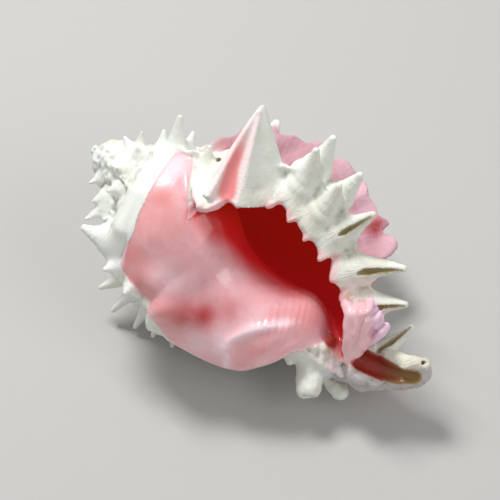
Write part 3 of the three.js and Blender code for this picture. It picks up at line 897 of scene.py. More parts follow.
def net(fine, low, step):
    """A mesh of four-sided faces over the skin: one vertex in each cell that the skin crosses."""
    inside = fine < 0
    shape = np.array(fine.shape)
    strides = np.array([shape[1] * shape[2], shape[2], 1])
    cell_ids, crossings, quads = [], [], []
    for axis in range(3):
        ahead = [slice(None)] * 3
        behind = [slice(None)] * 3
        ahead[axis] = slice(1, None)
        behind[axis] = slice(None, -1)
        changes = np.argwhere(inside[tuple(ahead)] != inside[tuple(behind)])
        one, two = [i for i in range(3) if i != axis]
        changes = changes[(changes[:, one] > 0) & (changes[:, two] > 0)]
        a = fine[tuple(changes.T)]
        step_on = np.eye(3, dtype=int)[axis]
        b = fine[tuple((changes + step_on).T)]
        place = changes.astype(float)
        place[:, axis] += a / (a - b)
        start = changes @ strides
        around = [start - strides[one] - strides[two], start - strides[two], start, start - strides[one]]
        for cell in around:
            cell_ids.append(cell)
            crossings.append(place)
        quad = np.stack(around, axis=1)
        flip = (a < 0) == (axis == 1)
        quad[flip] = quad[flip][:, ::-1]
        quads.append(quad)
    ids = np.concatenate(cell_ids)
    points = np.concatenate(crossings)
    unique, index = np.unique(ids, return_inverse=True)
    count = np.bincount(index)
    vertices = np.stack([np.bincount(index, points[:, i]) / count for i in range(3)], axis=1)
    faces = np.searchsorted(unique, np.concatenate(quads))
    return low + vertices * step, faces


def normals_of(vertices, faces):
    """The direction out of the skin at each vertex."""
    corner = vertices[faces]
    face_normal = np.cross(corner[:, 2] - corner[:, 0], corner[:, -1] - corner[:, 1])
    total = np.zeros_like(vertices)
    for i in range(faces.shape[1]):
        for axis in range(3):
            total[:, axis] += np.bincount(faces[:, i], face_normal[:, axis], len(vertices))
    return total / np.maximum(np.linalg.norm(total, axis=1, keepdims=True), 1e-9)


SETTLE_ROUNDS = 2
SETTLE_PROBE = 0.3
SETTLE_LEAST_SLOPE = 0.4
SETTLE_MOST = 0.5


def settle(vertices, faces, step):
    """Moves each vertex along its normal onto the skin."""
    tiny = step * SETTLE_PROBE
    most = step * SETTLE_MOST
    for _ in range(SETTLE_ROUNDS):
        normals = normals_of(vertices, faces)
        here, out, back = (field(vertices + normals * d) for d in (0, tiny, -tiny))
        slope = np.maximum((out - back) / (2 * tiny), SETTLE_LEAST_SLOPE)
        move = np.clip(-here / slope, -most, most)
        vertices = vertices + normals * move[:, None]
        vertices[:, 2] = np.maximum(vertices[:, 2], 0)
    return vertices


class Noise:
    """Smooth noise from -1 to 1, from a seeded block of random numbers that repeats."""

    SIZE = 32

    def __init__(self, seed):
        self.block = np.random.default_rng(seed).random((self.SIZE,) * 3) * 2 - 1

    def __call__(self, points, scale):
        q = points / scale
        cell = np.floor(q).astype(int)
        f = q - cell
        f = f * f * (3 - 2 * f)
        value = 0
        for corner in np.ndindex(2, 2, 2):
            index = (cell + corner) % self.SIZE
            weight = np.prod(np.where(np.array(corner) == 1, f, 1 - f), axis=1)
            value = value + weight * self.block[tuple(index.T)]
        return value


ROUGH = Noise(3)
WAVES = Noise(7)


def spots(down, right, places):
    """The strength of soft oval spots where they are."""
    total = np.zeros(len(down))
    for s, q, tall, wide, strength in places:
        total = np.maximum(total, strength * bell((down - s) / tall) * bell((right - q) / wide))
    return total


def row_at(rows, down):
    """How far right a line of the front view runs, by how far down."""
    line = curve(rows, even=False)
    return np.interp(down, line[:, 0], line[:, 1])


def on(distance, half, soft):
    """1 on the skin of a form and 0 away from it."""
    return fade(np.abs(distance), half, half + soft)


class Reach:
    """Where parts of the finish start and end, in millimetres unless it says otherwise."""

    MOUTH = (0.5, 1.3)
    SHIELD_FRONT = (0, 4)
    SHIELD_RIGHT = (-0.2, 0.8)
    SHIELD_FOOT = (-0.4, 0.6)
    PILLAR_DOWN = (30, 40)
    PILLAR_RIGHT = (-10, 0)
    GUTTER_DOWN = (84, 90)
    CALM = (4, 7)
    CALM_DOWN = (29, 33)
    CALM_FRONT = (2, 8)
    NEAR_AXIS = (12, 18)
    BEHIND_LIP = (0.6, 3.5)
    AXIS_SHIFT = 6
    SHIELD_EDGE = (-1.5, 0)
    RED = (-5.5, 2.0)
    DEEPER = (0, 9)
    SLIT = (0.1, 0.4)
    SLIT_SHARE = (0.22, 0.35)
    STRIPE = (0.1, 1.5)
    STRIPE_SHARE = (0.5, 1.0)
    STRIPE_DOWN = (40.5, 42.5)
    BESIDE_STRIPE = (1.5, 4.0)
    BESIDE_DOWN = (40, 43)
    SPINE = (0.3, 1.5)
    NOTCH = (0.5, 1.5)
    NOTCH_FRONT = (12, 16)
    FIN = (-0.8, 0.2)
    FIN_AHEAD = (6, 10)
    FIN_OUT = (-1, 2.5)
    FIN_SHARE = (0.08, 0.2)
    FIN_DEGREES = (20, 34)
    FIN_RED_EDGE = (0.05, 0.4)
    FIN_MIDDLE = 20
    FIN_TOP = 22
    CANAL_SKIN = (0.4, 1.8)
    CANAL_DOWN = (92, 99)
    LEDGE_SKIN = (0.4, 1.5)
    LEDGE_DOWN = (88, 92)
    CANAL_SLANT = (88, 94)
    ABOVE_CANAL = (95, 98)
    RIM = (0.4, 1.7)
    RIM_DEPTH = (2.0, 3.4)
    PALE_EDGE = (0.6, 2.4)
    # Half width of the painted highlight along the first ridge of the callus.
    HIGHLIGHT_WIDTH = 1.3
    FLAP = (0.3, 0.9)
    LILAC = (60.5, 63.5)
    GUTTER_TIP_SHARE = (0.62, 0.97)
    SPIRE = (17, 27)
    BAND = (8, 16)
    BAND_MIDDLE = 6
    BAND_SHARE = (0.2, 0.3)


def spine_masks(points):
    """How much each place is inside the slit of a spine, and how much on a spine at all."""
    slit = np.zeros(len(points))
    spiny = np.zeros(len(points))
    for spine in SPINES:
        near = spine.near(points)
        if len(near) == 0:
            continue
        local = points[near]
        if spine.is_open:
            away, share = spine.slit.along(local)
            inside = fade(away, *Reach.SLIT) * smooth(share, *Reach.SLIT_SHARE)
            slit[near] = np.maximum(slit[near], inside)
        spiny[near] = np.maximum(spiny[near], fade(spine.body(local), *Reach.SPINE))
    return slit, np.maximum(spiny, fade(np.abs(notch_spine(points)), *Reach.NOTCH))


def notch_masks(points, place, front):
    """The pink stripe up the folded spine, and the paler skin beside it."""
    down = place[:, 0]
    notch = on(NOTCH_GUTTER_BAR(points), 0.6, 0.9)
    away, up = NOTCH_STRIPE_BAR.along(place)
    blush = np.maximum(notch, 0.6) * fade(away, *Reach.STRIPE)
    blush *= 1 - 0.8 * smooth(up, *Reach.STRIPE_SHARE)
    in_view = smooth(front, *Reach.NOTCH_FRONT)
    blush *= fade(down, *Reach.STRIPE_DOWN) * in_view
    beside = np.maximum(notch, fade(away, *Reach.BESIDE_STRIPE) * fade(down, *Reach.BESIDE_DOWN))
    return blush, beside * in_view


def fin_mask(coil):
    """The front of the tall frill behind the lip."""
    ahead = coil.ahead_of(-VARIX_STEP) / coil.k
    middle = lerp(OLD_FRILL["foot"], OLD_FRILL["lean"], np.clip(coil.out / Reach.FIN_MIDDLE, 0, 1))
    fin = smooth(ahead - middle, *Reach.FIN) * fade(ahead, *Reach.FIN_AHEAD)
    fin *= smooth(coil.out, *Reach.FIN_OUT)
    return fin * (smooth(coil.u, *Reach.FIN_SHARE) * smooth(-coil.phi, *Reach.FIN_DEGREES))


def canal_mask(points, down, right):
    """The pitted outside of the canal and of the ledge along it."""
    canal_skin = fade(CANALS[0](points), *Reach.CANAL_SKIN) * smooth(down, *Reach.CANAL_DOWN)
    ledge_skin = fade(LEDGE_BAR(points), *Reach.LEDGE_SKIN) * smooth(down, *Reach.LEDGE_DOWN)
    return np.maximum(canal_skin, ledge_skin) * smooth(down - right, *Reach.CANAL_SLANT)


def finishes(rest):
    """How much of each finish the skin has, from 0 to 1, and its place along the growth."""
    points = to_shell(rest)
    right, front, down = points[:, 0], -points[:, 1], -points[:, 2]
    place = np.stack([down, right], axis=1)
    coil, older = Coil(points, 0), Coil(points, 1)
    deep = hollow(coil)
    in_mouth = fade(deep, *Reach.MOUTH)
    edge = np.radians(lip_reach(coil.u) - coil.phi) * coil.radius
    near_axis = fade(coil.radius, *Reach.NEAR_AXIS)
    behind_lip = smooth(edge + Reach.AXIS_SHIFT * near_axis, *Reach.BEHIND_LIP)

    past_left = right + 0.5 * ROUGH(points, 5.0) - row_at(CALLUS_LEFT, down)
    shield = on(callus(points), 0.5, 0.8)
    shield *= smooth(past_left, *Reach.SHIELD_EDGE) * smooth(front, *Reach.SHIELD_FRONT)
    past_right = right - row_at(CALLUS_TOP_RIGHT, down)
    shield *= np.where(down < CALLUS_TOP_RIGHT[-1][0], fade(past_right, *Reach.SHIELD_RIGHT), 1)
    pillar = on(columella(points), 0.9, 0.9)
    pillar *= smooth(down, *Reach.PILLAR_DOWN) * smooth(right, *Reach.PILLAR_RIGHT)
    in_front = np.maximum(shield, pillar)

    gutter, along = GUTTER_BAR.along(points)
    in_gutter = on(gutter, 0.6, 0.6) * smooth(down, *Reach.GUTTER_DOWN)
    under = canal_mask(points, down, right) * (1 - in_gutter)
    outer = (1 - under) * fade(down - right, *Reach.ABOVE_CANAL)
    # On the shield and the columella the red starts along that line: its own colour and partly painted
    # shade.
    into = right + 0.8 * WAVES(points, 8.0) - row_at(RED_FROM, down)
    crimson = in_mouth * lerp(behind_lip, smooth(into, *Reach.RED), in_front) * outer

    flap_on = fade(flap(points), *Reach.FLAP)
    below = smooth(down - np.interp(right, *CALLUS_FOOT), *Reach.SHIELD_FOOT)
    callus_on = np.clip(np.maximum(shield, pillar * in_mouth) - flap_on, 0, 1) * (1 - below)
    to_edge = np.radians(EDGE_ANGLE(points[:, 2]) - np.degrees(np.arctan2(right, front))) * coil.radius
    top_edge = drawn(CALLUS_LEFT[:CALLUS_TOP_ROWS])
    calm = fade(top_edge(place), *Reach.CALM) * fade(down, *Reach.CALM_DOWN)
    calm *= smooth(front, *Reach.CALM_FRONT)

    slit, spiny = spine_masks(points)
    blush, beside = notch_masks(points, place, front)
    fin = fin_mask(coil)
    off_rim = np.maximum.reduce([in_front, under, near_axis])
    # Painted highlight: a pale line along the first ridge of the callus, where its gloss catches the light.
    highlight_ridge = drawn(curve(RIDGES[0][0], RIDGE_POINTS))
    pale = [
        spots(down, right, PALE_SPOTS),
        0.8 * fade(np.abs(to_edge), *Reach.PALE_EDGE),
        bell(highlight_ridge(place) / Reach.HIGHLIGHT_WIDTH),
    ]
    share = {
        "crimson": crimson,
        "deeper": smooth(into, *Reach.DEEPER) * crimson,
        "edge_pink": in_mouth * (1 - in_front) * (1 - behind_lip) * outer,
        "lip_rim": fade(np.abs(edge), *Reach.RIM) * fade(deep, *Reach.RIM_DEPTH) * (1 - off_rim),
        "callus": callus_on,
        "salmon": spots(down, right, SALMON_SPOTS) * callus_on,
        "rose": spots(down, right, ROSE_SPOTS) * callus_on,
        "mauve": spots(down, right, MAUVE_SPOTS) * callus_on,
        "pale": np.maximum.reduce(pale) * callus_on,
        "folds": spots(down, right, FOLDS) * callus_on,
        "flap": flap_on,
        "flap_lilac": flap_on * smooth(right * 0.6 + down * 0.55, *Reach.LILAC),
        "olive": slit,
        "blush": blush,
        "near_blush": beside * (1 - in_mouth),
        "gutter": in_gutter,
        "gutter_tip": smooth(along, *Reach.GUTTER_TIP_SHARE),
        "fin": fin * (1 - in_mouth),
        "fin_height": coil.out / Reach.FIN_TOP,
        "fin_red": spots(down, right, FIN_RED) * smooth(fin, *Reach.FIN_RED_EDGE),
        "under": under,
        "spiny": spiny,
        "calm": calm * (1 - callus_on),
        "spire": fade(down, *Reach.SPIRE) * (1 - callus_on) * (1 - calm) * (1 - spiny),
        "band": fade(np.abs(edge + Reach.BAND_MIDDLE), *Reach.BAND) * (1 - in_mouth)
        * (1 - callus_on) * smooth(coil.u, *Reach.BAND_SHARE),
    }
    share = {name: np.clip(value, 0, 1) for name, value in share.items()}
    on_older = np.abs(older.out * older.k) < np.abs(coil.out * coil.k)
    names = ("u", "phi", "k", "radius")
    u, phi, k, radius = (np.where(on_older, getattr(older, n), getattr(coil, n)) for n in names)
    share["share_down"] = u
    share["past_left"] = np.where(past_left > 1, 1.0, past_left)
    share["growth_mm"] = np.radians(phi - lip_reach(u)) * radius / k
    return share


# Relief: how many cords there are from top to bottom, and heights and spacings in millimetres.
CORDS = 24
CORD_HEIGHT = 0.22
LINE_SPACING = 2.6
LINE_HEIGHT = 0.04
BAND_LINE_HEIGHT = 0.025
LUMP_HEIGHT = 0.34
GRAIN_HEIGHT = 0.2
CRAG_HEIGHTS = (0.6, 0.3)
PIT_DEPTH = 0.6
FOLD_HEIGHT = 0.12
FOLD_SPACING = 1.7
SWELL_HEIGHT = 0.3
LOBE_HEIGHT = 0.4
FAN_FROM = (4, 99)
FAN_STEP = 15
FAN_HEIGHT = 0.16
FLUTES = 13
FLUTE_HEIGHT = 0.6
SMOOTH_PARTS = ("callus", "crimson", "flap", "blush", "near_blush", "gutter")


def relief(rest, finish):
    """Millimetres that the surface stands proud of or below its smooth form."""
    points = to_shell(rest)
    right, down = points[:, 0], -points[:, 2]
    place = np.stack([down, right], axis=1)
    round_turn = 2 * np.pi
    bend = WAVES(points, 7.0)
    spiny, band = finish["spiny"], finish["band"]

    smooth_parts = np.maximum.reduce([finish[name] for name in SMOOTH_PARTS])
    smooth_parts = np.maximum(smooth_parts, 0.9 * np.maximum(finish["calm"], finish["fin"]))
    on_stripe = 1 - np.maximum(finish["near_blush"], finish["blush"])
    cords = np.cos(round_turn * CORDS * finish["share_down"] + 1.5 * bend) * CORD_HEIGHT * (1 - spiny)
    wave = np.sin(round_turn * finish["growth_mm"] / LINE_SPACING + 4 * bend + 2 * ROUGH(points, 3.1))
    lines = wave * (LINE_HEIGHT + BAND_LINE_HEIGHT * band) * on_stripe * (1 - 0.6 * spiny)
    lumps = LUMP_HEIGHT * ROUGH(points, 3.8) + GRAIN_HEIGHT * WAVES(points, 1.7)
    lumps *= (1 - 0.8 * spiny)
    lumps *= (1 - 0.7 * finish["lip_rim"]) * (1 - 0.5 * band)
    crag = (1 - 2.6 * np.abs(ROUGH(points, 3.6))) * CRAG_HEIGHTS[0]
    crag += (1 - 2.4 * np.abs(WAVES(points, 2.0))) * CRAG_HEIGHTS[1]
    pits = -PIT_DEPTH * np.maximum(ROUGH(points, 1.5) - 0.05, 0) * finish["under"]
    chalk = (1 - smooth_parts) * (cords + lines + lumps + crag * finish["spire"]) + pits

    slant = (down * 0.8 + right * 0.5) / FOLD_SPACING + 0.35 * WAVES(points, 4.0)
    soft = SWELL_HEIGHT * WAVES(points, 9.0) + FOLD_HEIGHT * np.sin(round_turn * slant) * finish["folds"]

    up = FAN_FROM[1] - down
    fan = np.degrees(np.arctan2(right - FAN_FROM[0], up))
    fan = FAN_HEIGHT * np.sin(round_turn * fan / FAN_STEP + ROUGH(points, 5.0)) * smooth(up - 4, -3, 4)
    lobes = LOBE_HEIGHT * ROUGH(points, 3.3) + GRAIN_HEIGHT * WAVES(points, 2.0) + fan
    for line, wide, depth in CREASES:
        lobes -= depth * bell(drawn(line)(place) / wide)

    flutes = np.sin(round_turn * FLUTES * finish["share_down"] + 2 * bend)
    fluted = FLUTE_HEIGHT * flutes * finish["fin_height"] + 0.4 * bend
    return chalk + soft * finish["callus"] + lobes * finish["flap"] + finish["fin"] * fluted


def mesh_of(name, vertices, faces):
    """A mesh in metres of vertices in millimetres."""
    mesh = bpy.data.meshes.new(name)
    mesh.vertices.add(len(vertices))
    mesh.vertices.foreach_set("co", (vertices * MM).astype(np.float32).ravel())
    sides = faces.shape[1]
    mesh.loops.add(faces.size)
    mesh.loops.foreach_set("vertex_index", faces.astype(np.int32).ravel())
    mesh.polygons.add(len(faces))
    mesh.polygons.foreach_set("loop_start", np.arange(0, faces.size, sides, dtype=np.int32))
    mesh.update(calc_edges=True)
    mesh.validate()
    mesh.shade_smooth()
    return mesh


def applied(piece):
    """Applies the modifiers of a piece to its mesh."""
    shaped = piece.evaluated_get(bpy.context.evaluated_depsgraph_get())
    mesh = bpy.data.meshes.new_from_object(shaped)
    piece.modifiers.clear()
    old = piece.data
    piece.data = mesh
    bpy.data.meshes.remove(old)
    return piece


def linear(red, green, blue):
    """A colour as a screen shows it, in the linear values that shaders use."""
    return tuple(c / 12.92 if c <= 0.04045 else ((c + 0.055) / 1.055) ** 2.4 for c in (red, green, blue))


def colour_property(name, description, colour):
    return FloatVectorProperty(
        name=name, description=description, subtype="COLOR", size=3, min=0, max=1, default=linear(*colour)
    )


class ShellSizes(bpy.types.PropertyGroup):
    """Sizes of the skin."""

    detail: FloatProperty(
        name="Detail", description="Distance between the points that the skin is worked out at",
        default=0.5 * MM, unit="LENGTH",
    )
    triangles: IntProperty(
        name="Triangles", description="Most triangles that the finished skin may have", default=196000
    )


class ShellColours(bpy.types.PropertyGroup):
    """Colours of the shell."""

    chalk: colour_property("Chalk", "White of the ribs and spines", (0.93, 0.945, 0.92))
    cream: colour_property("Cream", "Tint of the sheltered parts of the outside", (0.84, 0.81, 0.72))
    # Brown of the growth lines and the canal gutter, and also painted shade in the grooves and pits.
    dust_and_shade: colour_property("Dust", "Brown left in the grooves", (0.50, 0.42, 0.32))
    olive: colour_property("Olive", "Inside of the slits of the spines", (0.55, 0.47, 0.16))
    grey: colour_property("Grey", "Pitted outside of the canal", (0.67, 0.63, 0.67))
    callus: colour_property("Callus", "Glossy shield of the mouth", (0.94, 0.68, 0.70))
    pale: colour_property("Pale pink", "Palest parts of the shield", (0.98, 0.86, 0.89))
    salmon: colour_property("Salmon", "Warm patches of the shield", (0.87, 0.52, 0.50))
    # Rose is partly painted shade, laid over the hollow of the shield.
    rose: colour_property("Rose", "Dark hollow of the shield", (0.72, 0.22, 0.24))
    mauve: colour_property("Mauve", "Greyer middle of the shield", (0.80, 0.64, 0.67))
    crimson: colour_property("Crimson", "Mouth near the columella", (0.70, 0.10, 0.12))
    deep_red: colour_property("Deep red", "Far inside of the mouth", (0.66, 0.11, 0.075))
    lilac: colour_property("Lilac", "Lobed flap", (0.93, 0.78, 0.87))
    fin_pink: colour_property("Fin pink", "Front of the fin behind the lip", (0.79, 0.59, 0.63))
    blush: colour_property("Blush", "Gutter of the folded spine", (0.94, 0.56, 0.56))


class StudioSettings(bpy.types.PropertyGroup):
    """The camera, floor and lights."""

    elevation: FloatProperty(
        name="Elevation", description="How far above the horizon the camera stands",
        default=math.radians(52.07), subtype="ANGLE",
    )
    distance: FloatProperty(
        name="Distance", description="How far the camera is from the shell", default=0.48, unit="LENGTH"
    )
    width: FloatProperty(
        name="View width", description="Width that the camera sees at the shell", default=0.1475,
        unit="LENGTH",
    )
    key_power: FloatProperty(
        name="Key light", description="Power of the smaller light, behind on the left", default=6.0,
        unit="POWER",
    )
    fill_power: FloatProperty(
        name="Fill light", description="Power of the wide light, in front on the right", default=1.8,
        unit="POWER",
    )
    sky: FloatProperty(name="Sky", description="Strength of the even light from all round", default=0.42)
    floor: FloatVectorProperty(
        name="Floor", description="Colour of the floor", subtype="COLOR", size=3, min=0, max=1,
        default=(0.50, 0.49, 0.475),
    )


class Wire:
    """A socket that can be used in sums: the operators add the nodes."""

    def __init__(self, nodes, socket):
        self.nodes = nodes
        self.socket = socket

    def sum_of(self, operation, first, second):
        """The result of one operation, on colours, vectors or numbers."""
        kinds = {wire.socket.type for wire in (first, second) if isinstance(wire, Wire)}
        if "RGBA" in kinds:
            settings = {"data_type": "RGBA", "blend_type": operation}
            return self.nodes.add("ShaderNodeMix", settings, {0: 1.0, 6: first, 7: second}, out=2)
        if "VECTOR" in kinds:
            return self.nodes.add("ShaderNodeVectorMath", {"operation": operation}, {0: first, 1: second})
        return self.nodes.add("ShaderNodeMath", {"operation": operation}, {0: first, 1: second})

    def __add__(self, other):
        return self.sum_of("ADD", self, other)

    def __radd__(self, other):
        return self.sum_of("ADD", other, self)

    def __sub__(self, other):
        return self.sum_of("SUBTRACT", self, other)

    def __rsub__(self, other):
        return self.sum_of("SUBTRACT", other, self)

    def __mul__(self, other):
        return self.sum_of("MULTIPLY", self, other)

    def __rmul__(self, other):
        return self.sum_of("MULTIPLY", other, self)

    def sine(self):
        return self.nodes.add("ShaderNodeMath", {"operation": "SINE"}, {0: self})

    def largest(self, other):
        return self.nodes.add("ShaderNodeMath", {"operation": "MAXIMUM"}, {0: self, 1: other})

    def between(self, low, high):
        """0 below low, 1 above high, soft between."""
        settings = {"interpolation_type": "SMOOTHSTEP"}
        return self.nodes.add("ShaderNodeMapRange", settings, {0: self, 1: low, 2: high, 3: 0.0, 4: 1.0})

    def toward(self, colour, share):
        """This colour turned towards another by a share."""
        return self.nodes.add("ShaderNodeMix", {"data_type": "RGBA"}, {0: share, 6: self, 7: colour}, out=2)


class Nodes:
    """A material's node tree, built one node at a time."""

    def __init__(self, name):
        self.material = bpy.data.materials.new(name)
        self.material.use_nodes = True
        self.tree = self.material.node_tree
        self.shader = self.tree.nodes["Principled BSDF"]

    def add(self, kind, settings=None, inputs=None, out=0):
        """A new node: its settings first, then the values or links of its sockets."""
        node = self.tree.nodes.new(kind)
        for name, value in (settings or {}).items():
            setattr(node, name, value)
        for key, value in (inputs or {}).items():
            self.feed(node.inputs[key], value)
        return Wire(self, node.outputs[out])

    def feed(self, socket, value):
        if isinstance(value, Wire):
            self.tree.links.new(value.socket, socket)
        elif socket.type == "RGBA" and not np.isscalar(value) and len(value) == 3:
            socket.default_value = (*value, 1.0)
        else:
            socket.default_value = value

    def finish(self, inputs):
        """The material, its shader's sockets fed by name."""
        for name, value in inputs.items():
            self.feed(self.shader.inputs[name], value)
        return self.material

    def colour(self, value):
        wire = self.add("ShaderNodeRGB")
        wire.socket.default_value = (*value, 1)
        return wire

    def mask(self, name):
        """One of the skin's finishes, as finishes() names it."""
        return self.add("ShaderNodeAttribute", {"attribute_name": name}, out=2)

    def noise(self, size, detail=3.0, rough=0.55):
        """Noise whose lumps are about size millimetres across."""
        place = self.add("ShaderNodeTexCoord", out=3)
        inputs = {"Vector": place, "Scale": 1.0 / (size * MM), "Detail": detail, "Roughness": rough}
        return self.add("ShaderNodeTexNoise", {}, inputs)


def shell_finish(colours):
    """Chalky outside with painted shade in its grooves, glossy pink shield with a painted highlight,
    crimson mouth with a painted glow, olive slits.
    """
    nodes = Nodes("shell_finish")
    mask = nodes.mask
    cloud = nodes.noise(9, 4.0).between(0.38, 0.68)
    grain = nodes.noise(1.6, 5.0, 0.65)
    speck = grain.between(0.52, 0.72)
    veins = nodes.noise(5, 3.0).between(0.4, 0.7)
    bend = nodes.noise(6, 2.0)
    fine = (mask("growth_mm") * 6.5 + bend * 7 + nodes.noise(2.2, 2.0) * 3).sine()
    thread = (mask("share_down") * 420 + bend * 9).sine()
    rough_part = (1 - mask("calm") * 0.85) * (1 - mask("spiny") * 0.4)
    groove = mask("groove")

    outside = nodes.colour(colours.chalk)
    outside = outside.toward(colours.cream, (cloud * 0.5 + speck * 0.3 + mask("band") * 0.35) * rough_part)
    # Painted shade: grooves and hollows darken towards brown by how far below their neighbours they lie.
    outside = outside.toward(colours.dust_and_shade, groove.between(0.3, 1.0) * (0.25 + speck * 0.35))
    lines = fine.between(0.35, 1.0) * speck.between(0.0, 0.8) * rough_part
    outside = outside.toward(colours.dust_and_shade, lines * (0.06 + mask("band") * 0.12))
    outside = outside.toward(colours.grey, mask("under") * (0.6 + speck * 0.4))
    # Painted shade in the pits of the canal's outside.
    outside = outside.toward(colours.dust_and_shade, mask("under") * groove * 0.5)
    outside = outside.toward(colours.pale, mask("near_blush") * 0.45)
    outside = outside.toward(colours.olive, mask("olive") * (0.8 + speck * 0.2))
    fin = nodes.colour(colours.fin_pink).toward(colours.pale, mask("fin_height").between(0.75, 1.2) * 0.5)
    fin = fin.toward(colours.deep_red, (1 - mask("fin_height").between(0.0, 0.3)) * 0.75)
    fin = fin.toward(colours.deep_red, mask("fin_red"))
    outside = outside.toward(fin.toward(colours.lilac, veins * 0.3), mask("fin"))
    outside = outside.toward(colours.callus, mask("lip_rim") * 0.65)
    outside = outside.toward(colours.blush, mask("blush"))

    shield = nodes.colour(colours.callus).toward(colours.pale, veins * 0.3)
    shield = shield.toward(colours.mauve, mask("mauve")).toward(colours.salmon, mask("salmon"))
    shield = shield.toward(colours.rose, mask("rose")).toward(colours.pale, mask("pale"))
    shield = shield.toward(colours.salmon, nodes.noise(3.2, 4.0).between(0.55, 0.75) * 0.35)
    past_edge = mask("past_left") + nodes.noise(1.2, 2.0) * 0.3 - 0.15
    on_shield = mask("callus") * past_edge.between(-0.2, 0.25)
    colour = outside.toward(shield, on_shield)
    colour = colour.toward(colours.callus, mask("edge_pink"))
    inside = nodes.colour(colours.crimson).toward(colours.deep_red, mask("deeper"))
    colour = colour.toward(inside, mask("crimson"))
    lobes = nodes.colour(colours.callus).toward(colours.pale, 0.35)
    lobes = lobes.toward(colours.lilac, mask("flap_lilac").between(0.1, 0.9))
    lobes = lobes.toward(colours.pale, veins * 0.4)
    colour = colour.toward(lobes, mask("flap"))
    gutter = nodes.colour(colours.deep_red).toward(colours.dust_and_shade, 0.15 + mask("gutter_tip") * 0.5)
    gutter = gutter.toward(colours.olive, mask("gutter_tip") * 0.6)
    colour = colour.toward(gutter, mask("gutter"))

    gloss = on_shield.largest(mask("crimson")).largest(mask("flap")).largest(mask("blush") * 0.7)
    gloss = gloss.largest(mask("fin") * 0.12).largest(mask("gutter") * 0.5)
    # Painted glow: the red mouth, but not the canal gutter, gives off light in its own red to lift the
    # shade inside it.
    painted_glow = mask("crimson") * (1 - mask("gutter"))
    pores = grain * 0.55 + nodes.noise(0.5, 3.0) * 0.35
    height = pores + fine * 0.05 * (0.5 + mask("band")) + thread * 0.04
    height = height * (1 - gloss * 0.95) * (0.25 + rough_part * 0.75)
    bump = nodes.add("ShaderNodeBump", {}, {"Strength": 0.8, "Distance": 0.6 * MM, "Height": height})
    return nodes.finish({
        "Base Color": colour,
        "Roughness": 0.74 - gloss * 0.5 + veins * 0.05,
        "Coat Weight": gloss * 0.55,
        # Painted glow of the mouth's red.
        "Emission Color": inside.toward((0, 0, 0), 1 - painted_glow),
        "Emission Strength": 0.29,
        "Coat Roughness": 0.06,
        "Subsurface Weight": 0.08,
        "Subsurface Scale": 1.2 * MM,
        "Normal": bump,
    })


def read(items, name, size=3):
    """One property of every vertex or edge of a mesh, a row for each."""
    values = np.empty(len(items) * size, np.int32 if size == 2 else np.float32)
    items.foreach_get(name, values)
    return values.reshape(-1, size)


def without_relief(mesh, raised, level):
    """Where each vertex of the thinned mesh would be had the relief not been added, in millimetres."""
    tree = KDTree(len(raised))
    for i, place in enumerate(raised):
        tree.insert(place, i)
    tree.balance()
    places = read(mesh.vertices, "co").astype(float) / MM
    closest = np.array([tree.find(place)[1] for place in places])
    return places + (level - raised)[closest]


GROOVE_DEPTH = 0.06
GROOVE_SPREAD = 3


def hollowness(mesh):
    """How far each vertex lies below its neighbours, from 0 on an even stretch to 1 in a groove."""
    count = len(mesh.vertices)
    co = read(mesh.vertices, "co") / MM
    normal = read(mesh.vertices, "normal")
    a, b = read(mesh.edges, "vertices", 2).T

    def gather(at_a, at_b):
        return (np.bincount(a, at_a, count) + np.bincount(b, at_b, count)) / number

    number = np.maximum(np.bincount(a, minlength=count) + np.bincount(b, minlength=count), 1)
    rise = co[b] - co[a]
    total = gather((rise * normal[a]).sum(axis=1), (-rise * normal[b]).sum(axis=1))
    for _ in range(GROOVE_SPREAD):
        total = 0.5 * total + 0.5 * gather(total[b], total[a])
    return np.clip(total / GROOVE_DEPTH, 0, 1)


class SHELL_OT_grow(bpy.types.Operator):
    """Grow the shell's skin and give it its finish"""

    bl_idname = "shell.grow"
    bl_label = "Grow the shell"

    def execute(self, context):
        sizes = context.scene.shell_sizes
        step = sizes.detail / MM * 1
        fine, low = sample(step)
        vertices, faces = net(fine, low, step)
        vertices = settle(vertices, faces, step)
        raised = relief(vertices, finishes(vertices))
        smooth_skin = vertices
        vertices = vertices + normals_of(vertices, faces) * raised[:, None]
        vertices[:, 2] = np.maximum(vertices[:, 2], 0)
        piece = bpy.data.objects.new("shell_skin", mesh_of("shell_skin", vertices, faces))
        context.scene.collection.objects.link(piece)
        triangles = 2 * len(faces)
        if triangles > sizes.triangles:
            thin = piece.modifiers.new("fewer", "DECIMATE")
            thin.ratio = sizes.triangles / triangles
            applied(piece)
        mesh = piece.data
        masks = finishes(without_relief(mesh, vertices, smooth_skin))
        # How far each vertex lies in a groove, for the painted shade there.
        masks["groove"] = hollowness(mesh)
        for name, values in masks.items():
            attribute = mesh.attributes.new(name, "FLOAT", "POINT")
            attribute.data.foreach_set("value", values.astype(np.float32))
        mesh.materials.append(shell_finish(context.scene.shell_colours))
        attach(piece, "root")
        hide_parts(NODE)
        return {"FINISHED"}


PHOTO_SIZE = 500
APEX_PIXEL = (96, 145)
SENSOR = 36
FLOOR_HALF = 3
LIGHTS = {"key": ((-0.24, 0.28, 0.78), 0.22), "fill": ((0.55, -0.40, 0.65), 0.5)}
LIT_POINT = Vector((0, 0, 0.03))


